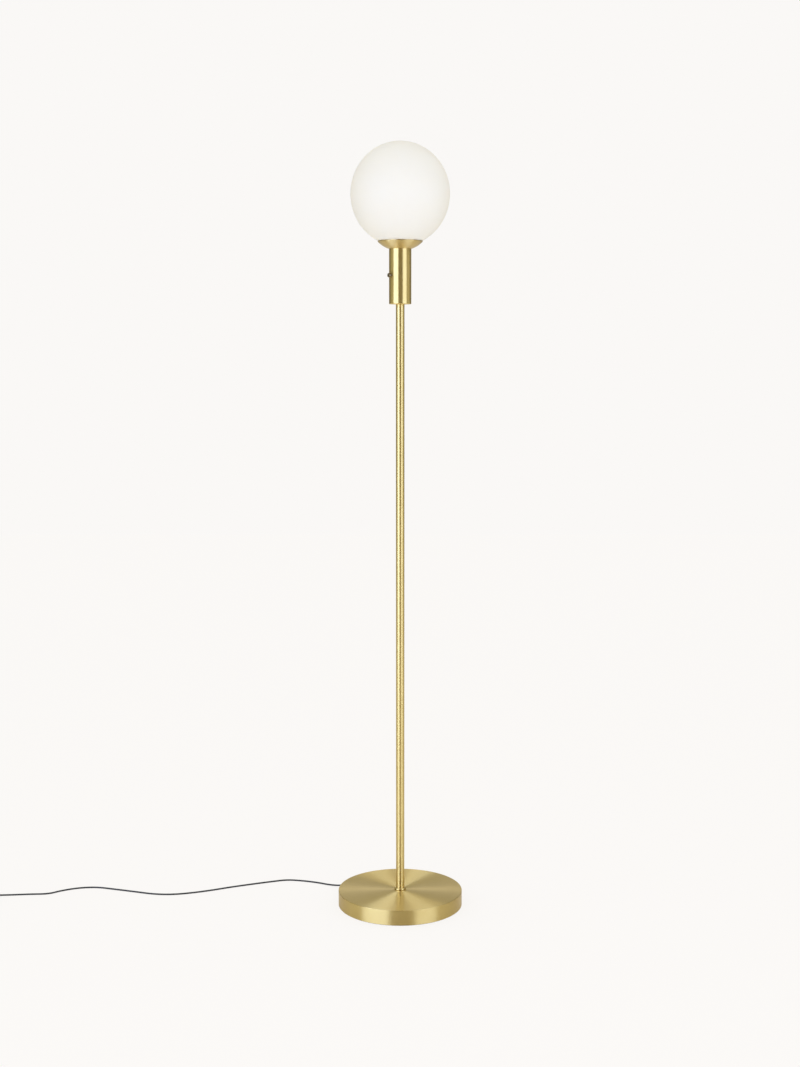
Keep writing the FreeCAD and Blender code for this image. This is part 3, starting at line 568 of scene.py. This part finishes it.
def makeCollar(values):
    swell = values["height"] / 2
    shoulder = values["radius"] - swell * 0.9
    low, high = values["foot"], values["foot"] + values["height"]
    side = arcPoints((shoulder, low + swell), swell, -90.0, 90.0, 20)
    side = [(shoulder + (r - shoulder) * 0.9, z) for r, z in side]
    collar = turnedPiece("baseCollar", [(values["bore"], low), *side, (values["bore"], high),
                                        (values["bore"], low)], tubeBrass)
    setUp(collar, "stand", "satin_brass", "base_collar")


# pole: three tubes, each with a fine chamfer at its ends that makes the joint line
poleValues = {
    "radius": 8.75,
    "wall": 1.2,
    "foot": 32.0,
    "section": 407.5,
    "chamfer": 0.3,
}


def makePole(values):
    outer, inner, edge = values["radius"], values["radius"] - values["wall"], values["chamfer"]
    for place, name in enumerate(("lower", "middle", "upper")):
        low = values["foot"] + place * values["section"]
        high = low + values["section"]
        outline = roundedOutline([(inner, low), (outer, low, edge), (outer, high, edge), (inner, high)], closed=True)
        tube = turnedPiece("pole" + name.capitalize(), outline, tubeBrass, 96)
        setUp(tube, "stand", "satin_brass", "pole_" + name)


# lamp tube on top of the pole
headValues = {
    "radius": 22.6,
    "wall": 1.5,
    "floor": 3.0,
    "low": 1254.5,
    "length": 110.5,
    "edge": 1.6,
    "topEdge": 0.35,
    "hole": 5.05,
}


def makeHead(values):
    low, high = values["low"], values["low"] + values["length"]
    outer, inner = values["radius"], values["radius"] - values["wall"]
    floor = low + values["floor"]
    tube = turnedPiece("headTube", roundedOutline([
        (values["hole"], low), (outer, low, values["edge"]), (outer, high, values["topEdge"]), (inner, high),
        (inner, floor, 0.5), (values["hole"], floor)], closed=True), tubeBrass, 160)
    setUp(tube, "stand", "satin_brass", "head_tube")


# turn switch on its radial axis
switchValues = {
    "azimuth": 212.0,
    "level": 1311.8,
    "nut": (3.05, 4.0, 22.2, 23.8),        # bore, radius, inner and outer end
    "knob": (4.2, 24.1, 28.6),             # radius, inner and outer end
    "bore": (1.55, 26.7),
    "flutes": 16,
    "fluteDepth": 0.3,
}
switchAxis = (Matrix.Translation((0.0, 0.0, switchValues["level"] * mm))
              @ Matrix.Rotation(math.radians(switchValues["azimuth"]), 4, "Z")
              @ Matrix.Rotation(math.radians(90.0), 4, "Y"))
# painted shade: the knob and its nut take the darkened brass
paintedShadeKnobBrass = spunBrass("paintedShadeKnobBrass", paintedShadeKnobValues, switchAxis)


def makeSwitch(values):
    bore, radius, start, end = values["nut"]
    nut = turnedPiece("switchNut", roundedOutline([
        (bore, start), (radius, start), (radius, end, 0.3), (bore, end)], closed=True),
        paintedShadeKnobBrass, 64, axis=switchAxis)
    setUp(nut, "stand", "satin_brass", "switch_nut")
    radius, start, end = values["knob"]
    bore, depth = values["bore"]
    outline = roundedOutline([
        (0.0, depth), (bore, depth), (bore, start), (radius, start, 0.3), (radius, end - 0.6, 0.3),
        (radius - 0.7, end, 0.3), (2.7, end, 0.2), (2.4, end - 0.25, 0.2), (0.0, end - 0.25)])
    knob = turnedPiece("switchKnob", outline, paintedShadeKnobBrass, 192, values["flutes"], values["fluteDepth"],
                       (start + 0.7, end - 0.5, radius - 0.5), switchAxis)
    setUp(knob, "knob", "satin_brass", "switch_knob")


# cup under the globe
cupValues = {
    "foot": (22.6, 1365.0),
    "rim": (45.5, 1379.2),
    "sagitta": 1.7,
    "lip": 1.3,
    "wall": 1.2,
    "hole": 19.55,
}


def cupArc(values):
    # centre and radius of the arc of the cup's outer side
    (startR, startZ), (endR, endZ) = values["foot"], values["rim"]
    chord = math.hypot(endR - startR, endZ - startZ)
    radius = (chord ** 2 / 4 + values["sagitta"] ** 2) / (2 * values["sagitta"])
    back = radius - values["sagitta"]
    centre = ((startR + endR) / 2 - back * (endZ - startZ) / chord,
              (startZ + endZ) / 2 + back * (endR - startR) / chord)
    return centre, radius


def makeCup(values):
    centre, radius = cupArc(values)
    (footR, footZ), (rimR, rimZ) = values["foot"], values["rim"]
    wall, top = values["wall"], rimZ + values["lip"]
    start = math.degrees(math.atan2(footZ - centre[1], footR - centre[0]))
    end = math.degrees(math.atan2(rimZ - centre[1], rimR - centre[0]))
    outside = arcPoints(centre, radius, start, end, 20)
    inside = arcPoints(centre, radius - wall, end, start, 20)
    lip = roundedOutline([(rimR, rimZ), (rimR, top, 0.35), (rimR - wall, top, 0.35), (rimR - wall, rimZ + 0.6)])[1:-1]
    foot = [(values["hole"], footZ + wall), (values["hole"], footZ + 0.15)]
    cup = turnedPiece("globeCup", [*outside, *lip, *inside, *foot, (footR - 0.3, footZ + 0.15), outside[0]],
                      paintedShadeCupBrass, 192)
    setUp(cup, "stand", "satin_brass", "globe_cup")


# opal glass globe
globeValues = {
    "middle": 1473.77,
    "halfWidth": 100.0,
    "halfHeight": 103.7,
    "wall": 2.5,
    "mouth": 36.0,
}


def makeGlobe(values):
    # blown globe, a little taller than wide, with a fire-polished mouth
    stretch = values["halfHeight"] / values["halfWidth"]
    centre = (0.0, values["middle"])
    sides = []
    for halfWidth in (values["halfWidth"] - values["wall"], values["halfWidth"]):
        low = -math.degrees(math.acos((values["mouth"] + 0.8) / halfWidth))
        sides.append(arcPoints(centre, halfWidth, low, 90.0, 72, stretch))
    inner, outer = sides
    middle = ((inner[0][0] + outer[0][0]) / 2, (inner[0][1] + outer[0][1]) / 2)
    half = math.hypot(outer[0][0] - middle[0], outer[0][1] - middle[1])
    aim = math.degrees(math.atan2(inner[0][1] - middle[1], inner[0][0] - middle[0]))
    lip = arcPoints(middle, half, aim, aim + 180.0, 10)[1:-1]
    lip = [(max(r, values["mouth"]), z) for r, z in lip]
    globe = turnedPiece("globeGlass", [*reversed(inner), *lip, *outer], opal, 160)
    setUp(globe, "globe", "opal_glass", "globe_glass")


# frosted bulb under the globe, seen when the glass is lifted
bulbValues = {
    "neck": 13.8,
    "neckLow": 1371.0,
    "radius": 30.0,
    "middle": 1427.0,
    "wall": 1.2,
}


def makeBulb(values):
    sides = []
    for radius, neck, low in ((values["radius"], values["neck"], values["neckLow"]),
                              (values["radius"] - values["wall"], values["neck"] - values["wall"],
                               values["neckLow"] + values["wall"])):
        sides.append([(neck, low), (neck, low + 3.0), (neck + 0.6, low + 7.0),
                      *arcPoints((0.0, values["middle"]), radius, -38.0, 90.0, 40)])
    outer, inner = sides
    foot = [(inner[0][0], values["neckLow"])]
    bulb = turnedPiece("bulbGlass", [*reversed(inner), *foot, *outer], frosted, 96)
    setUp(bulb, "stand", "bulb_glass", "bulb_glass")


# plastic ring that screws the clips and the cup down on the holder
ringValues = {
    "bore": 19.55,
    "radius": 22.05,
    "low": 1367.0,
    "height": 3.5,
    "flutes": 44,
    "fluteDepth": 0.4,
}


def makeHolderRing(values):
    low, high = values["low"], values["low"] + values["height"]
    outline = roundedOutline([(values["bore"], low), (values["radius"], low, 0.25), (values["radius"], high, 0.5),
                              (values["bore"], high, 0.3)], closed=True)
    ring = turnedPiece("holderRing", outline, blackPlastic, 264, values["flutes"], values["fluteDepth"],
                       (low + 0.2, high - 0.3, values["radius"] - 0.6))
    setUp(ring, "stand", "holder_plastic", "holder_ring")


# spring leaves that grip the glass's mouth from inside
clipValues = {
    "foot": (22.15, 1366.6),      # radius and height where a leaf leaves the ring
    "knee": (35.3, 1376.05),
    "end": (35.3, 1386.05),
    "ring": (19.55, 22.25),       # bore and radius
    "bend": 2.2,                  # reach of the bend at the knee, each way
    "tip": ((0.0, 1.6), (0.25, 0.9), (0.7, 0.35)),      # steps back from the end, inwards and down
    "tipWidths": (0.97, 0.86, 0.62),
    "thick": 0.8,
    "width": 8.0,
    "count": 3,
    "first": 90.0,                # azimuth of the first leaf, from +X
}


def makeAroundTree():
    tree, given = startNodes("roundTheAxis", [
        ("Piece", "Geometry"), ("Count", "Int"), ("First", "Float"), ("Finish", "Material")])
    points = addNode(tree, "GeometryNodePoints", {"Count": given["Count"]}).outputs[0]
    index = addNode(tree, "GeometryNodeInputIndex").outputs[0]
    step = mathNode(tree, "DIVIDE", 2 * math.pi, given["Count"])
    turn = mathNode(tree, "MULTIPLY_ADD", index, step, given["First"])
    facing = addNode(tree, "ShaderNodeCombineXYZ", {2: turn}).outputs[0]
    placed = addNode(tree, "GeometryNodeInstanceOnPoints",
                     {"Points": points, "Instance": given["Piece"], "Rotation": facing}).outputs[0]
    return closeNodes(tree, placed, given["Finish"])


def bentStrip(path, thick, widths):
    # path: (radius, height) of the strip's middle line, drawn along +X; widths: one for each point
    rings = []
    for place, (r, z) in enumerate(path):
        before = Vector(path[max(place - 1, 0)])
        after = Vector(path[min(place + 1, len(path) - 1)])
        along = (after - before).normalized()
        aside = Vector((-along.y, along.x)) * thick / 2
        half = widths[place] / 2
        corners = [(-half, 1.0), (-half, -1.0), (half, -1.0), (half, 1.0)]
        ring = []
        for across, side in corners:
            spot = Vector((r, z)) + aside * side
            ring.append((spot.x * mm, across * mm, spot.y * mm))
        rings.append(ring)
    vertices = [corner for ring in rings for corner in ring]
    faces = []
    for place in range(len(rings) - 1):
        here, there = 4 * place, 4 * place + 4
        for side in range(4):
            following = (side + 1) % 4
            faces.append((here + side, here + following, there + following, there + side))
    faces += [(3, 2, 1, 0), tuple(4 * (len(rings) - 1) + side for side in range(4))]
    return vertices, faces


def makeClips(values):
    foot, knee, end = (Vector(values[name]) for name in ("foot", "knee", "end"))
    run, rise = (foot - knee).normalized(), (end - knee).normalized()
    reach = values["bend"]
    path = [foot, foot.lerp(knee, 0.5), knee + run * reach * 1.5]
    for step in range(7):
        share = step / 6
        first = (knee + run * reach).lerp(knee, share)
        last = knee.lerp(knee + rise * reach, share)
        path.append(first.lerp(last, share))
    path += [knee.lerp(end, 0.6), *(end - Vector(step) for step in values["tip"])]
    widths = [values["width"]] * len(path)
    widths[-len(values["tipWidths"]):] = [values["width"] * share for share in values["tipWidths"]]
    vertices, faces = bentStrip([tuple(point) for point in path], values["thick"], widths)
    clips = meshPiece("globeClips", vertices, faces)
    faceOut(clips.data)
    modifier = clips.modifiers.new("leaves", "NODES")
    modifier.node_group = makeAroundTree()
    setInputs(modifier, {"Count": values["count"], "First": math.radians(values["first"]), "Finish": springSteel})
    bakeNodes(clips, modifier)
    setUp(clips, "stand", "spring_steel", "globe_clips")
    bore, radius = values["ring"]
    low, high = foot.y - values["thick"] / 2, foot.y + values["thick"] / 2
    outline = roundedOutline([(bore, low), (radius, low, 0.15), (radius, high, 0.15), (bore, high)], closed=True)
    ring = turnedPiece("clipRing", outline, springSteel, 128)
    setUp(ring, "stand", "spring_steel")


# strain relief at the back of the base, and the one on the plug
reliefValues = {
    "azimuth": 143.0,
    "level": 7.0,
    "inside": 125.8,
    "wallOut": 130.1,
    "tip": 154.0,
    "flange": 4.9,
    "neck": 3.8,
    "collar": (5.4, 1.9),         # radius and thickness
    "radii": (4.6, 2.6),
    "bore": 1.8,
    "grooves": (135.0, 4.5, 4, 1.4),      # first, spacing, count, width
}
plugReliefValues = {
    "length": 18.0,
    "radii": (2.6, 3.6),
    "grooves": (2.4, 3.4, 4, 1.2),
}


def ribbedTaper(start, end, radii, grooves, floor):
    # taper from one place to another, with rounded grooves
    first, spacing, count, width = grooves
    points = [(radii[0], start)]
    for groove in range(count):
        near = first + spacing * groove
        for share, depth in ((0.0, 0.0), (0.12, 0.55), (0.3, 0.95), (0.7, 0.95), (0.88, 0.55), (1.0, 0.0)):
            place = near + width * share
            surface = radii[0] + (radii[1] - radii[0]) * (place - start) / (end - start)
            points.append((surface - depth * max(surface - floor, 0.0) * 0.8, place))
    points.append((radii[1], end))
    return points


def makeRelief(values):
    axis = (Matrix.Translation((0.0, 0.0, values["level"] * mm))
            @ Matrix.Rotation(math.radians(values["azimuth"]), 4, "Z") @ Matrix.Rotation(math.radians(90.0), 4, "Y"))
    collar, thickness = values["collar"]
    inside, out, tip = values["inside"], values["wallOut"], values["tip"]
    taper = ribbedTaper(out + thickness, tip - 0.4, values["radii"], values["grooves"], values["radii"][1])
    rim = roundedOutline([(values["neck"], out), (collar, out, 0.3), (collar, out + thickness, 0.5), taper[0]])
    outline = [(values["bore"], inside), (values["flange"], inside), (values["flange"], out - 1.35),
               (values["neck"], out - 1.35), *rim[:-1], *taper, (values["radii"][1] - 0.35, tip),
               (values["bore"], tip), (values["bore"], inside)]
    relief = turnedPiece("cordRelief", outline, blackRubber, 64, axis=axis)
    setUp(relief, "stand", "black_rubber", "cord_relief")


# flat two-pin plug beside the coil; its sections run from the strain relief to its front
plugValues = {
    "end": (-936.0, 2.0, 6.8),    # tip of its strain relief; its front is towards -Y
    "bore": 1.8,
    # place behind the tip, half width, half height
    "sections": [(18.0, 4.6, 4.4), (18.3, 5.6, 5.0), (19.2, 6.6, 5.7), (21.0, 8.2, 6.3), (24.0, 10.3, 6.7),
                 (27.0, 11.1, 6.8), (38.0, 11.6, 6.8), (40.5, 12.9, 6.8), (43.0, 15.2, 6.8), (45.0, 16.6, 6.8),
                 (46.5, 17.0, 6.8), (52.8, 17.0, 6.8), (53.6, 16.7, 6.5), (54.0, 15.9, 5.8)],
    "grips": (28.2, 2.2, 4, 0.55),        # first groove, spacing, count, depth
    "squareness": 4.5,
    "pinSpacing": 18.6,
    "sleeve": (1.8, 2.08),        # bore and radius, on pins of radius 2
    "sleeveStart": 54.05,
    "sleeveEnd": 64.0,
}
plugAxis = (Matrix.Translation(Vector(plugValues["end"]) * mm) @ Matrix.Rotation(math.radians(90.0), 4, "X"))


def makePlugBody(values):
    places = [section[0] for section in values["sections"]]
    first, spacing, count, depth = values["grips"]
    rows = sorted(set(places + [first + spacing * groove + shift for groove in range(count)
                                for shift in (-0.6, -0.35, 0.0, 0.35, 0.6)]))
    around = 72
    vertices = []
    for row in rows:
        place = max(index for index, start in enumerate(places[:-1]) if start <= row)
        start, halfWidth, halfHeight = values["sections"][place]
        end, nextWidth, nextHeight = values["sections"][place + 1]
        share = (row - start) / (end - start)
        cut = max(depth * (1 - (abs(row - (first + spacing * groove)) / 0.6) ** 2) for groove in range(count))
        width = halfWidth + (nextWidth - halfWidth) * share
        height = halfHeight + (nextHeight - halfHeight) * share
        for step in range(around):
            turn = 2 * math.pi * step / around
            power = 2 / values["squareness"]
            side = math.copysign(abs(math.cos(turn)) ** power, math.cos(turn))
            level = math.copysign(abs(math.sin(turn)) ** power, math.sin(turn))
            grip = max(cut, 0.0) * min(abs(side) ** 6, 1.0)
            vertices.append(((width - grip) * side * mm, height * level * mm, row * mm))
    faces = []
    for row in range(len(rows) - 1):
        for step in range(around):
            here, there = row * around + step, row * around + (step + 1) % around
            faces.append((here, there, there + around, here + around))
    faces += [tuple(reversed(range(around))), tuple((len(rows) - 1) * around + step for step in range(around))]
    body = meshPiece("plugBody", vertices, faces, blackRubber)
    body.data.shade_smooth()
    for face in body.data.polygons[-2:]:
        face.use_smooth = False
    body.data.transform(plugAxis)
    setUp(body, "stand", "black_rubber", "plug_body")


def pairUp(piece, spacing):
    # two copies side by side, in one mesh
    shape = bmesh.new()
    for side in (-1.0, 1.0):
        copy = piece.data.copy()
        copy.transform(Matrix.Translation((side * spacing / 2, 0.0, 0.0)))
        shape.from_mesh(copy)
        bpy.data.meshes.remove(copy)
    shape.to_mesh(piece.data)
    shape.free()


def makePlug(values, reliefShape):
    makePlugBody(values)
    length = reliefShape["length"]
    taper = ribbedTaper(0.0, length, reliefShape["radii"], reliefShape["grooves"], reliefShape["radii"][0] - 0.6)
    outline = [(0.0, 0.5), (values["bore"], 0.5), (values["bore"], 0.0), *taper, (0.0, length)]
    relief = turnedPiece("plugRelief", outline, blackRubber, 64, axis=plugAxis)
    setUp(relief, "stand", "black_rubber", "plug_relief")
    bore, radius = values["sleeve"]
    start, end = values["sleeveStart"], values["sleeveEnd"]
    sleeves = turnedPiece("pinSleeves", roundedOutline([
        (bore, start), (radius, start), (radius, end, 0.06), (bore, end)], closed=True),
        blackPlastic, 48, axis=plugAxis)
    pairUp(sleeves, values["pinSpacing"] * mm)
    setUp(sleeves, "stand", "black_rubber")


# hook-and-loop band round the coil, its end lapped over the top
tieValues = {
    "middle": -890.0,
    "width": 8.0,
    "thick": 0.55,
    "room": (-6.65, 7.35, 0.58, 18.30),   # inner side: y from and to, height from and to
    "round": 3.2,
    "lap": 11.0,
}


def makeTie(values):
    low, high, bottom, top = values["room"]
    bend = values["round"]
    thick = values["thick"]
    half = thick / 2
    centre = []
    corners = [((high - bend, top - bend), 90.0, 0.0), ((high - bend, bottom + bend), 0.0, -90.0),
               ((low + bend, bottom + bend), -90.0, -180.0), ((low + bend, top - bend), 180.0, 90.0)]
    for spot, start, end in corners:
        centre += arcPoints(spot, bend + half, start, end, 8)
    centre = [(low + bend + 1.0, top + half), *centre]
    lapEnd = Vector((low + bend + values["lap"], top + half))
    lifted = [Vector(centre[-1]) + Vector((0.6, 0.08)), Vector(centre[-1]) + Vector((1.6, thick)),
              lapEnd * 0.5 + Vector(centre[-1]) * 0.5 + Vector((0.0, thick)), lapEnd + Vector((-1.0, thick)),
              lapEnd + Vector((0.0, thick))]
    lifted = [Vector((min(point.x, high - bend), min(point.y, top + half + thick))) for point in lifted]
    path = [Vector(point) for point in centre] + lifted
    strip = [(point.x, point.y) for point in path]
    vertices, faces = bentStrip(strip, thick, [values["width"]] * len(strip))
    turned = [(across + values["middle"] * mm, run, level) for run, across, level in vertices]
    tie = meshPiece("cordTie", turned, faces, tieBand)
    faceOut(tie.data)
    setUp(tie, "stand", "tie_band", "cord_tie")


makeBase(baseValues)
makeCollar(collarValues)
makePole(poleValues)
makeHead(headValues)
makeSwitch(switchValues)
makeCup(cupValues)
makeGlobe(globeValues)
makeBulb(bulbValues)
makeHolderRing(ringValues)
makeClips(clipValues)
print("lamp's pieces made")
makeRelief(reliefValues)
makePlug(plugValues, plugReliefValues)
makeTie(tieValues)
print("lead's pieces made")


# finishes of the solids that stay as they are

def finishNodes(material, *names):
    for name in names:
        if nodes[name].material_slots:
            for place in nodes[name].material_slots:
                place.material = material
        else:
            nodes[name].data.materials.append(material)


finishNodes(turnedBrass, "pole_bushes", "holder_contact", "terminal_screws", "switch_spindle", "switch_bush")
finishNodes(zincSteel, "base_nipple", "base_nut", "base_washer", "pole_studs", "head_nipple", "head_nut",
            "holder_plate", "holder_nipple", "holder_nut", "cord_clamp", "cord_clamp_screws")
finishNodes(castIron, "base_weight")
finishNodes(felt, "base_pad")
finishNodes(nickelShell, "bulb_cap", "holder_shell")
finishNodes(blackPlastic, "holder_cap", "holder_skirt", "switch_body")
finishNodes(porcelain, "holder_core")
finishNodes(nickelPins, "plug_pins")
finishNodes(silicone, "globe_gasket")
finishNodes(blackSheath, "mains_cable")
finishNodes(blueCore, "neutral_wire")
finishNodes(brownCore, "live_wire", "switched_wire")
print("solids finished")


# studio: pale floor and background, softboxes, and cards that only the brass reflects

studioValues = {
    "pale": (0.956, 0.939, 0.922),
    "floorSize": 14.0,
    "floorShadow": 0.12,          # share of the floor's look that takes the object's shadow
    "paleInBrass": 0.25,          # share of the pure pale floor in what the brass reflects
    "litInBrass": (0.72, 0.68, 0.60),
    "ambient": 1.03,
}


def makeFloor(values):
    material = bpy.data.materials.new("paleFloor")
    tree = clearedTree(material)
    path = addNode(tree, "ShaderNodeLightPath").outputs
    seen = mathNode(tree, "MULTIPLY", path["Is Camera Ray"], 1.0 - values["floorShadow"])
    reflected = mathNode(tree, "MULTIPLY_ADD", path["Is Glossy Ray"], values["paleInBrass"], seen)
    share = mathNode(tree, "ADD", path["Is Transmission Ray"], reflected)
    tone = blendColour(tree, path["Is Glossy Ray"], values["pale"], values["litInBrass"])
    lit = addNode(tree, "ShaderNodeBsdfDiffuse", {"Color": tone})
    flat = addNode(tree, "ShaderNodeEmission", {"Color": (*values["pale"], 1.0), "Strength": 1.0})
    both = addNode(tree, "ShaderNodeMixShader", {0: share, 1: lit.outputs[0], 2: flat.outputs[0]})
    addNode(tree, "ShaderNodeOutputMaterial", {0: both.outputs[0]})
    half = values["floorSize"] / 2
    meshPiece("floor", [(-half, -half, 0), (half, -half, 0), (half, half, 0), (-half, half, 0)],
                       [(0, 1, 2, 3)], material)


def makeWorld(values):
    world = bpy.data.worlds.new("paleWorld")
    scene.world = world
    tree = clearedTree(world)
    path = addNode(tree, "ShaderNodeLightPath").outputs
    either = mathNode(tree, "MAXIMUM", path["Is Camera Ray"], path["Is Glossy Ray"])
    seen = mathNode(tree, "MAXIMUM", either, path["Is Transmission Ray"])
    ambient = addNode(tree, "ShaderNodeBackground", {"Color": (1.0, 0.985, 0.96, 1.0), "Strength": values["ambient"]})
    pale = addNode(tree, "ShaderNodeBackground", {"Color": (*values["pale"], 1.0), "Strength": 1.0})
    both = addNode(tree, "ShaderNodeMixShader", {0: seen, 1: ambient.outputs[0], 2: pale.outputs[0]})
    addNode(tree, "ShaderNodeOutputWorld", {0: both.outputs[0]})


def softbox(label, values):
    # azimuth in degrees from the camera's side, to the right; radiance is what the brass sees
    light = bpy.data.lights.new(label, "AREA")
    light.shape = "RECTANGLE"
    light.size, light.size_y = values["size"]
    light.energy = values["radiance"] * math.pi * light.size * light.size_y
    light.color = values["colour"]
    lamp = linkObject(label, light)
    turn = math.radians(values["azimuth"])
    lamp.location = (values["distance"] * math.sin(turn), -values["distance"] * math.cos(turn), values["level"])
    target = Vector((0.0, 0.0, values["aim"]))
    lamp.rotation_euler = (target - lamp.location).to_track_quat("-Z", "Y").to_euler()
    lamp.visible_diffuse = values["forGlass"]
    lamp.visible_glossy = values["forBrass"]


# the brass reflects some of them, the glass and the floor are lit by the others
softboxes = {
    "leftSoftbox": {"azimuth": -46.0, "distance": 2.6, "level": 1.35, "aim": 1.35, "size": (2.5, 2.7),
                    "radiance": 3.6, "colour": (0.48, 0.60, 1.0), "forBrass": True, "forGlass": False},
    "rightSoftbox": {"azimuth": 48.0, "distance": 2.6, "level": 1.35, "aim": 1.35, "size": (2.0, 2.7),
                     "radiance": 2.3, "colour": (0.54, 0.65, 1.0), "forBrass": True, "forGlass": False},
    "streakLight": {"azimuth": 120.0, "distance": 1.9, "level": 2.7, "aim": 0.0, "size": (0.3, 0.9),
                    "radiance": 4.0, "colour": (1.0, 0.98, 0.95), "forBrass": True, "forGlass": False},
    "frontFill": {"azimuth": 0.0, "distance": 3.6, "level": 1.2, "aim": 1.3, "size": (2.6, 1.6),
                  "radiance": 2.6, "colour": (1.0, 0.985, 0.95), "forBrass": False, "forGlass": True},
}


cardValues = {
    "radius": 4.7,
    "height": 8.0,
    "between": (1.5, 2.0),        # the low colours end at one height, the high ones start at the other
    # azimuth in degrees from the camera's side, to the right, and the colour there
    "low": [(-180, (0.80, 0.78, 0.70)), (-164, (0.80, 0.78, 0.70)), (-156, (0.08, 0.07, 0.04)),
            (-118, (0.08, 0.07, 0.04)), (-108, (0.31, 0.35, 0.27)), (-82, (0.42, 0.45, 0.39)),
            (-22, (0.45, 0.47, 0.40)), (-16, (0.03, 0.02, 0.01)), (22, (0.03, 0.02, 0.01)),
            (28, (0.44, 0.44, 0.40)), (88, (0.38, 0.40, 0.37)), (108, (0.24, 0.25, 0.21)),
            (118, (0.09, 0.08, 0.05)), (156, (0.08, 0.07, 0.04)), (164, (0.80, 0.78, 0.70)),
            (180, (0.80, 0.78, 0.70))],
    "high": [(-180, (0.54, 0.53, 0.47)), (-162, (0.54, 0.53, 0.47)), (-150, (0.34, 0.33, 0.28)),
             (-108, (0.34, 0.33, 0.28)), (-90, (0.50, 0.50, 0.44)), (-24, (0.36, 0.36, 0.32)),
             (-16, (0.03, 0.02, 0.01)), (22, (0.03, 0.02, 0.01)), (30, (0.36, 0.36, 0.32)),
             (90, (0.50, 0.50, 0.44)), (108, (0.34, 0.33, 0.28)), (150, (0.34, 0.33, 0.28)),
             (162, (0.54, 0.53, 0.47)), (180, (0.54, 0.53, 0.47))],
}


def makeCards(values):
    material = bpy.data.materials.new("greyCards")
    tree = clearedTree(material)
    place = addNode(tree, "ShaderNodeTexCoord").outputs["Object"]
    split = addNode(tree, "ShaderNodeSeparateXYZ", {0: place}).outputs
    front = mathNode(tree, "MULTIPLY", split[1], -1.0)
    turn = mathNode(tree, "ARCTAN2", split[0], front)
    share = mathNode(tree, "MULTIPLY_ADD", turn, 0.5 / math.pi, 0.5)
    tones = []
    for level in ("low", "high"):
        ramp = addNode(tree, "ShaderNodeValToRGB", {0: share})
        stops = ramp.color_ramp.elements
        for azimuth, colour in values[level][1:-1]:
            stops.new((azimuth + 180.0) / 360.0).color = (*colour, 1.0)
        stops[0].color = (*values[level][0][1], 1.0)
        stops[len(stops) - 1].color = (*values[level][-1][1], 1.0)
        tones.append(ramp.outputs[0])
    start, end = values["between"]
    rise = addNode(tree, "ShaderNodeMapRange", {"Value": split[2], "From Min": start, "From Max": end}).outputs[0]
    glow = addNode(tree, "ShaderNodeEmission", {"Color": blendColour(tree, rise, *tones), "Strength": 1.0})
    addNode(tree, "ShaderNodeOutputMaterial", {0: glow.outputs[0]})
    shape = bmesh.new()
    bmesh.ops.create_cone(shape, segments=96, radius1=values["radius"], radius2=values["radius"],
                          depth=values["height"])
    bmesh.ops.translate(shape, verts=shape.verts, vec=(0.0, 0.0, values["height"] / 2))
    mesh = bpy.data.meshes.new("greyCards")
    shape.to_mesh(mesh)
    shape.free()
    mesh.materials.append(material)
    cards = linkObject("greyCards", mesh)
    cards.visible_camera = False
    cards.visible_diffuse = False
    cards.visible_transmission = False
    cards.visible_shadow = False


makeFloor(studioValues)
makeWorld(studioValues)
makeCards(cardValues)
for label, values in softboxes.items():
    softbox(label, values)
scene.view_settings.view_transform = "Standard"
print("studio set")
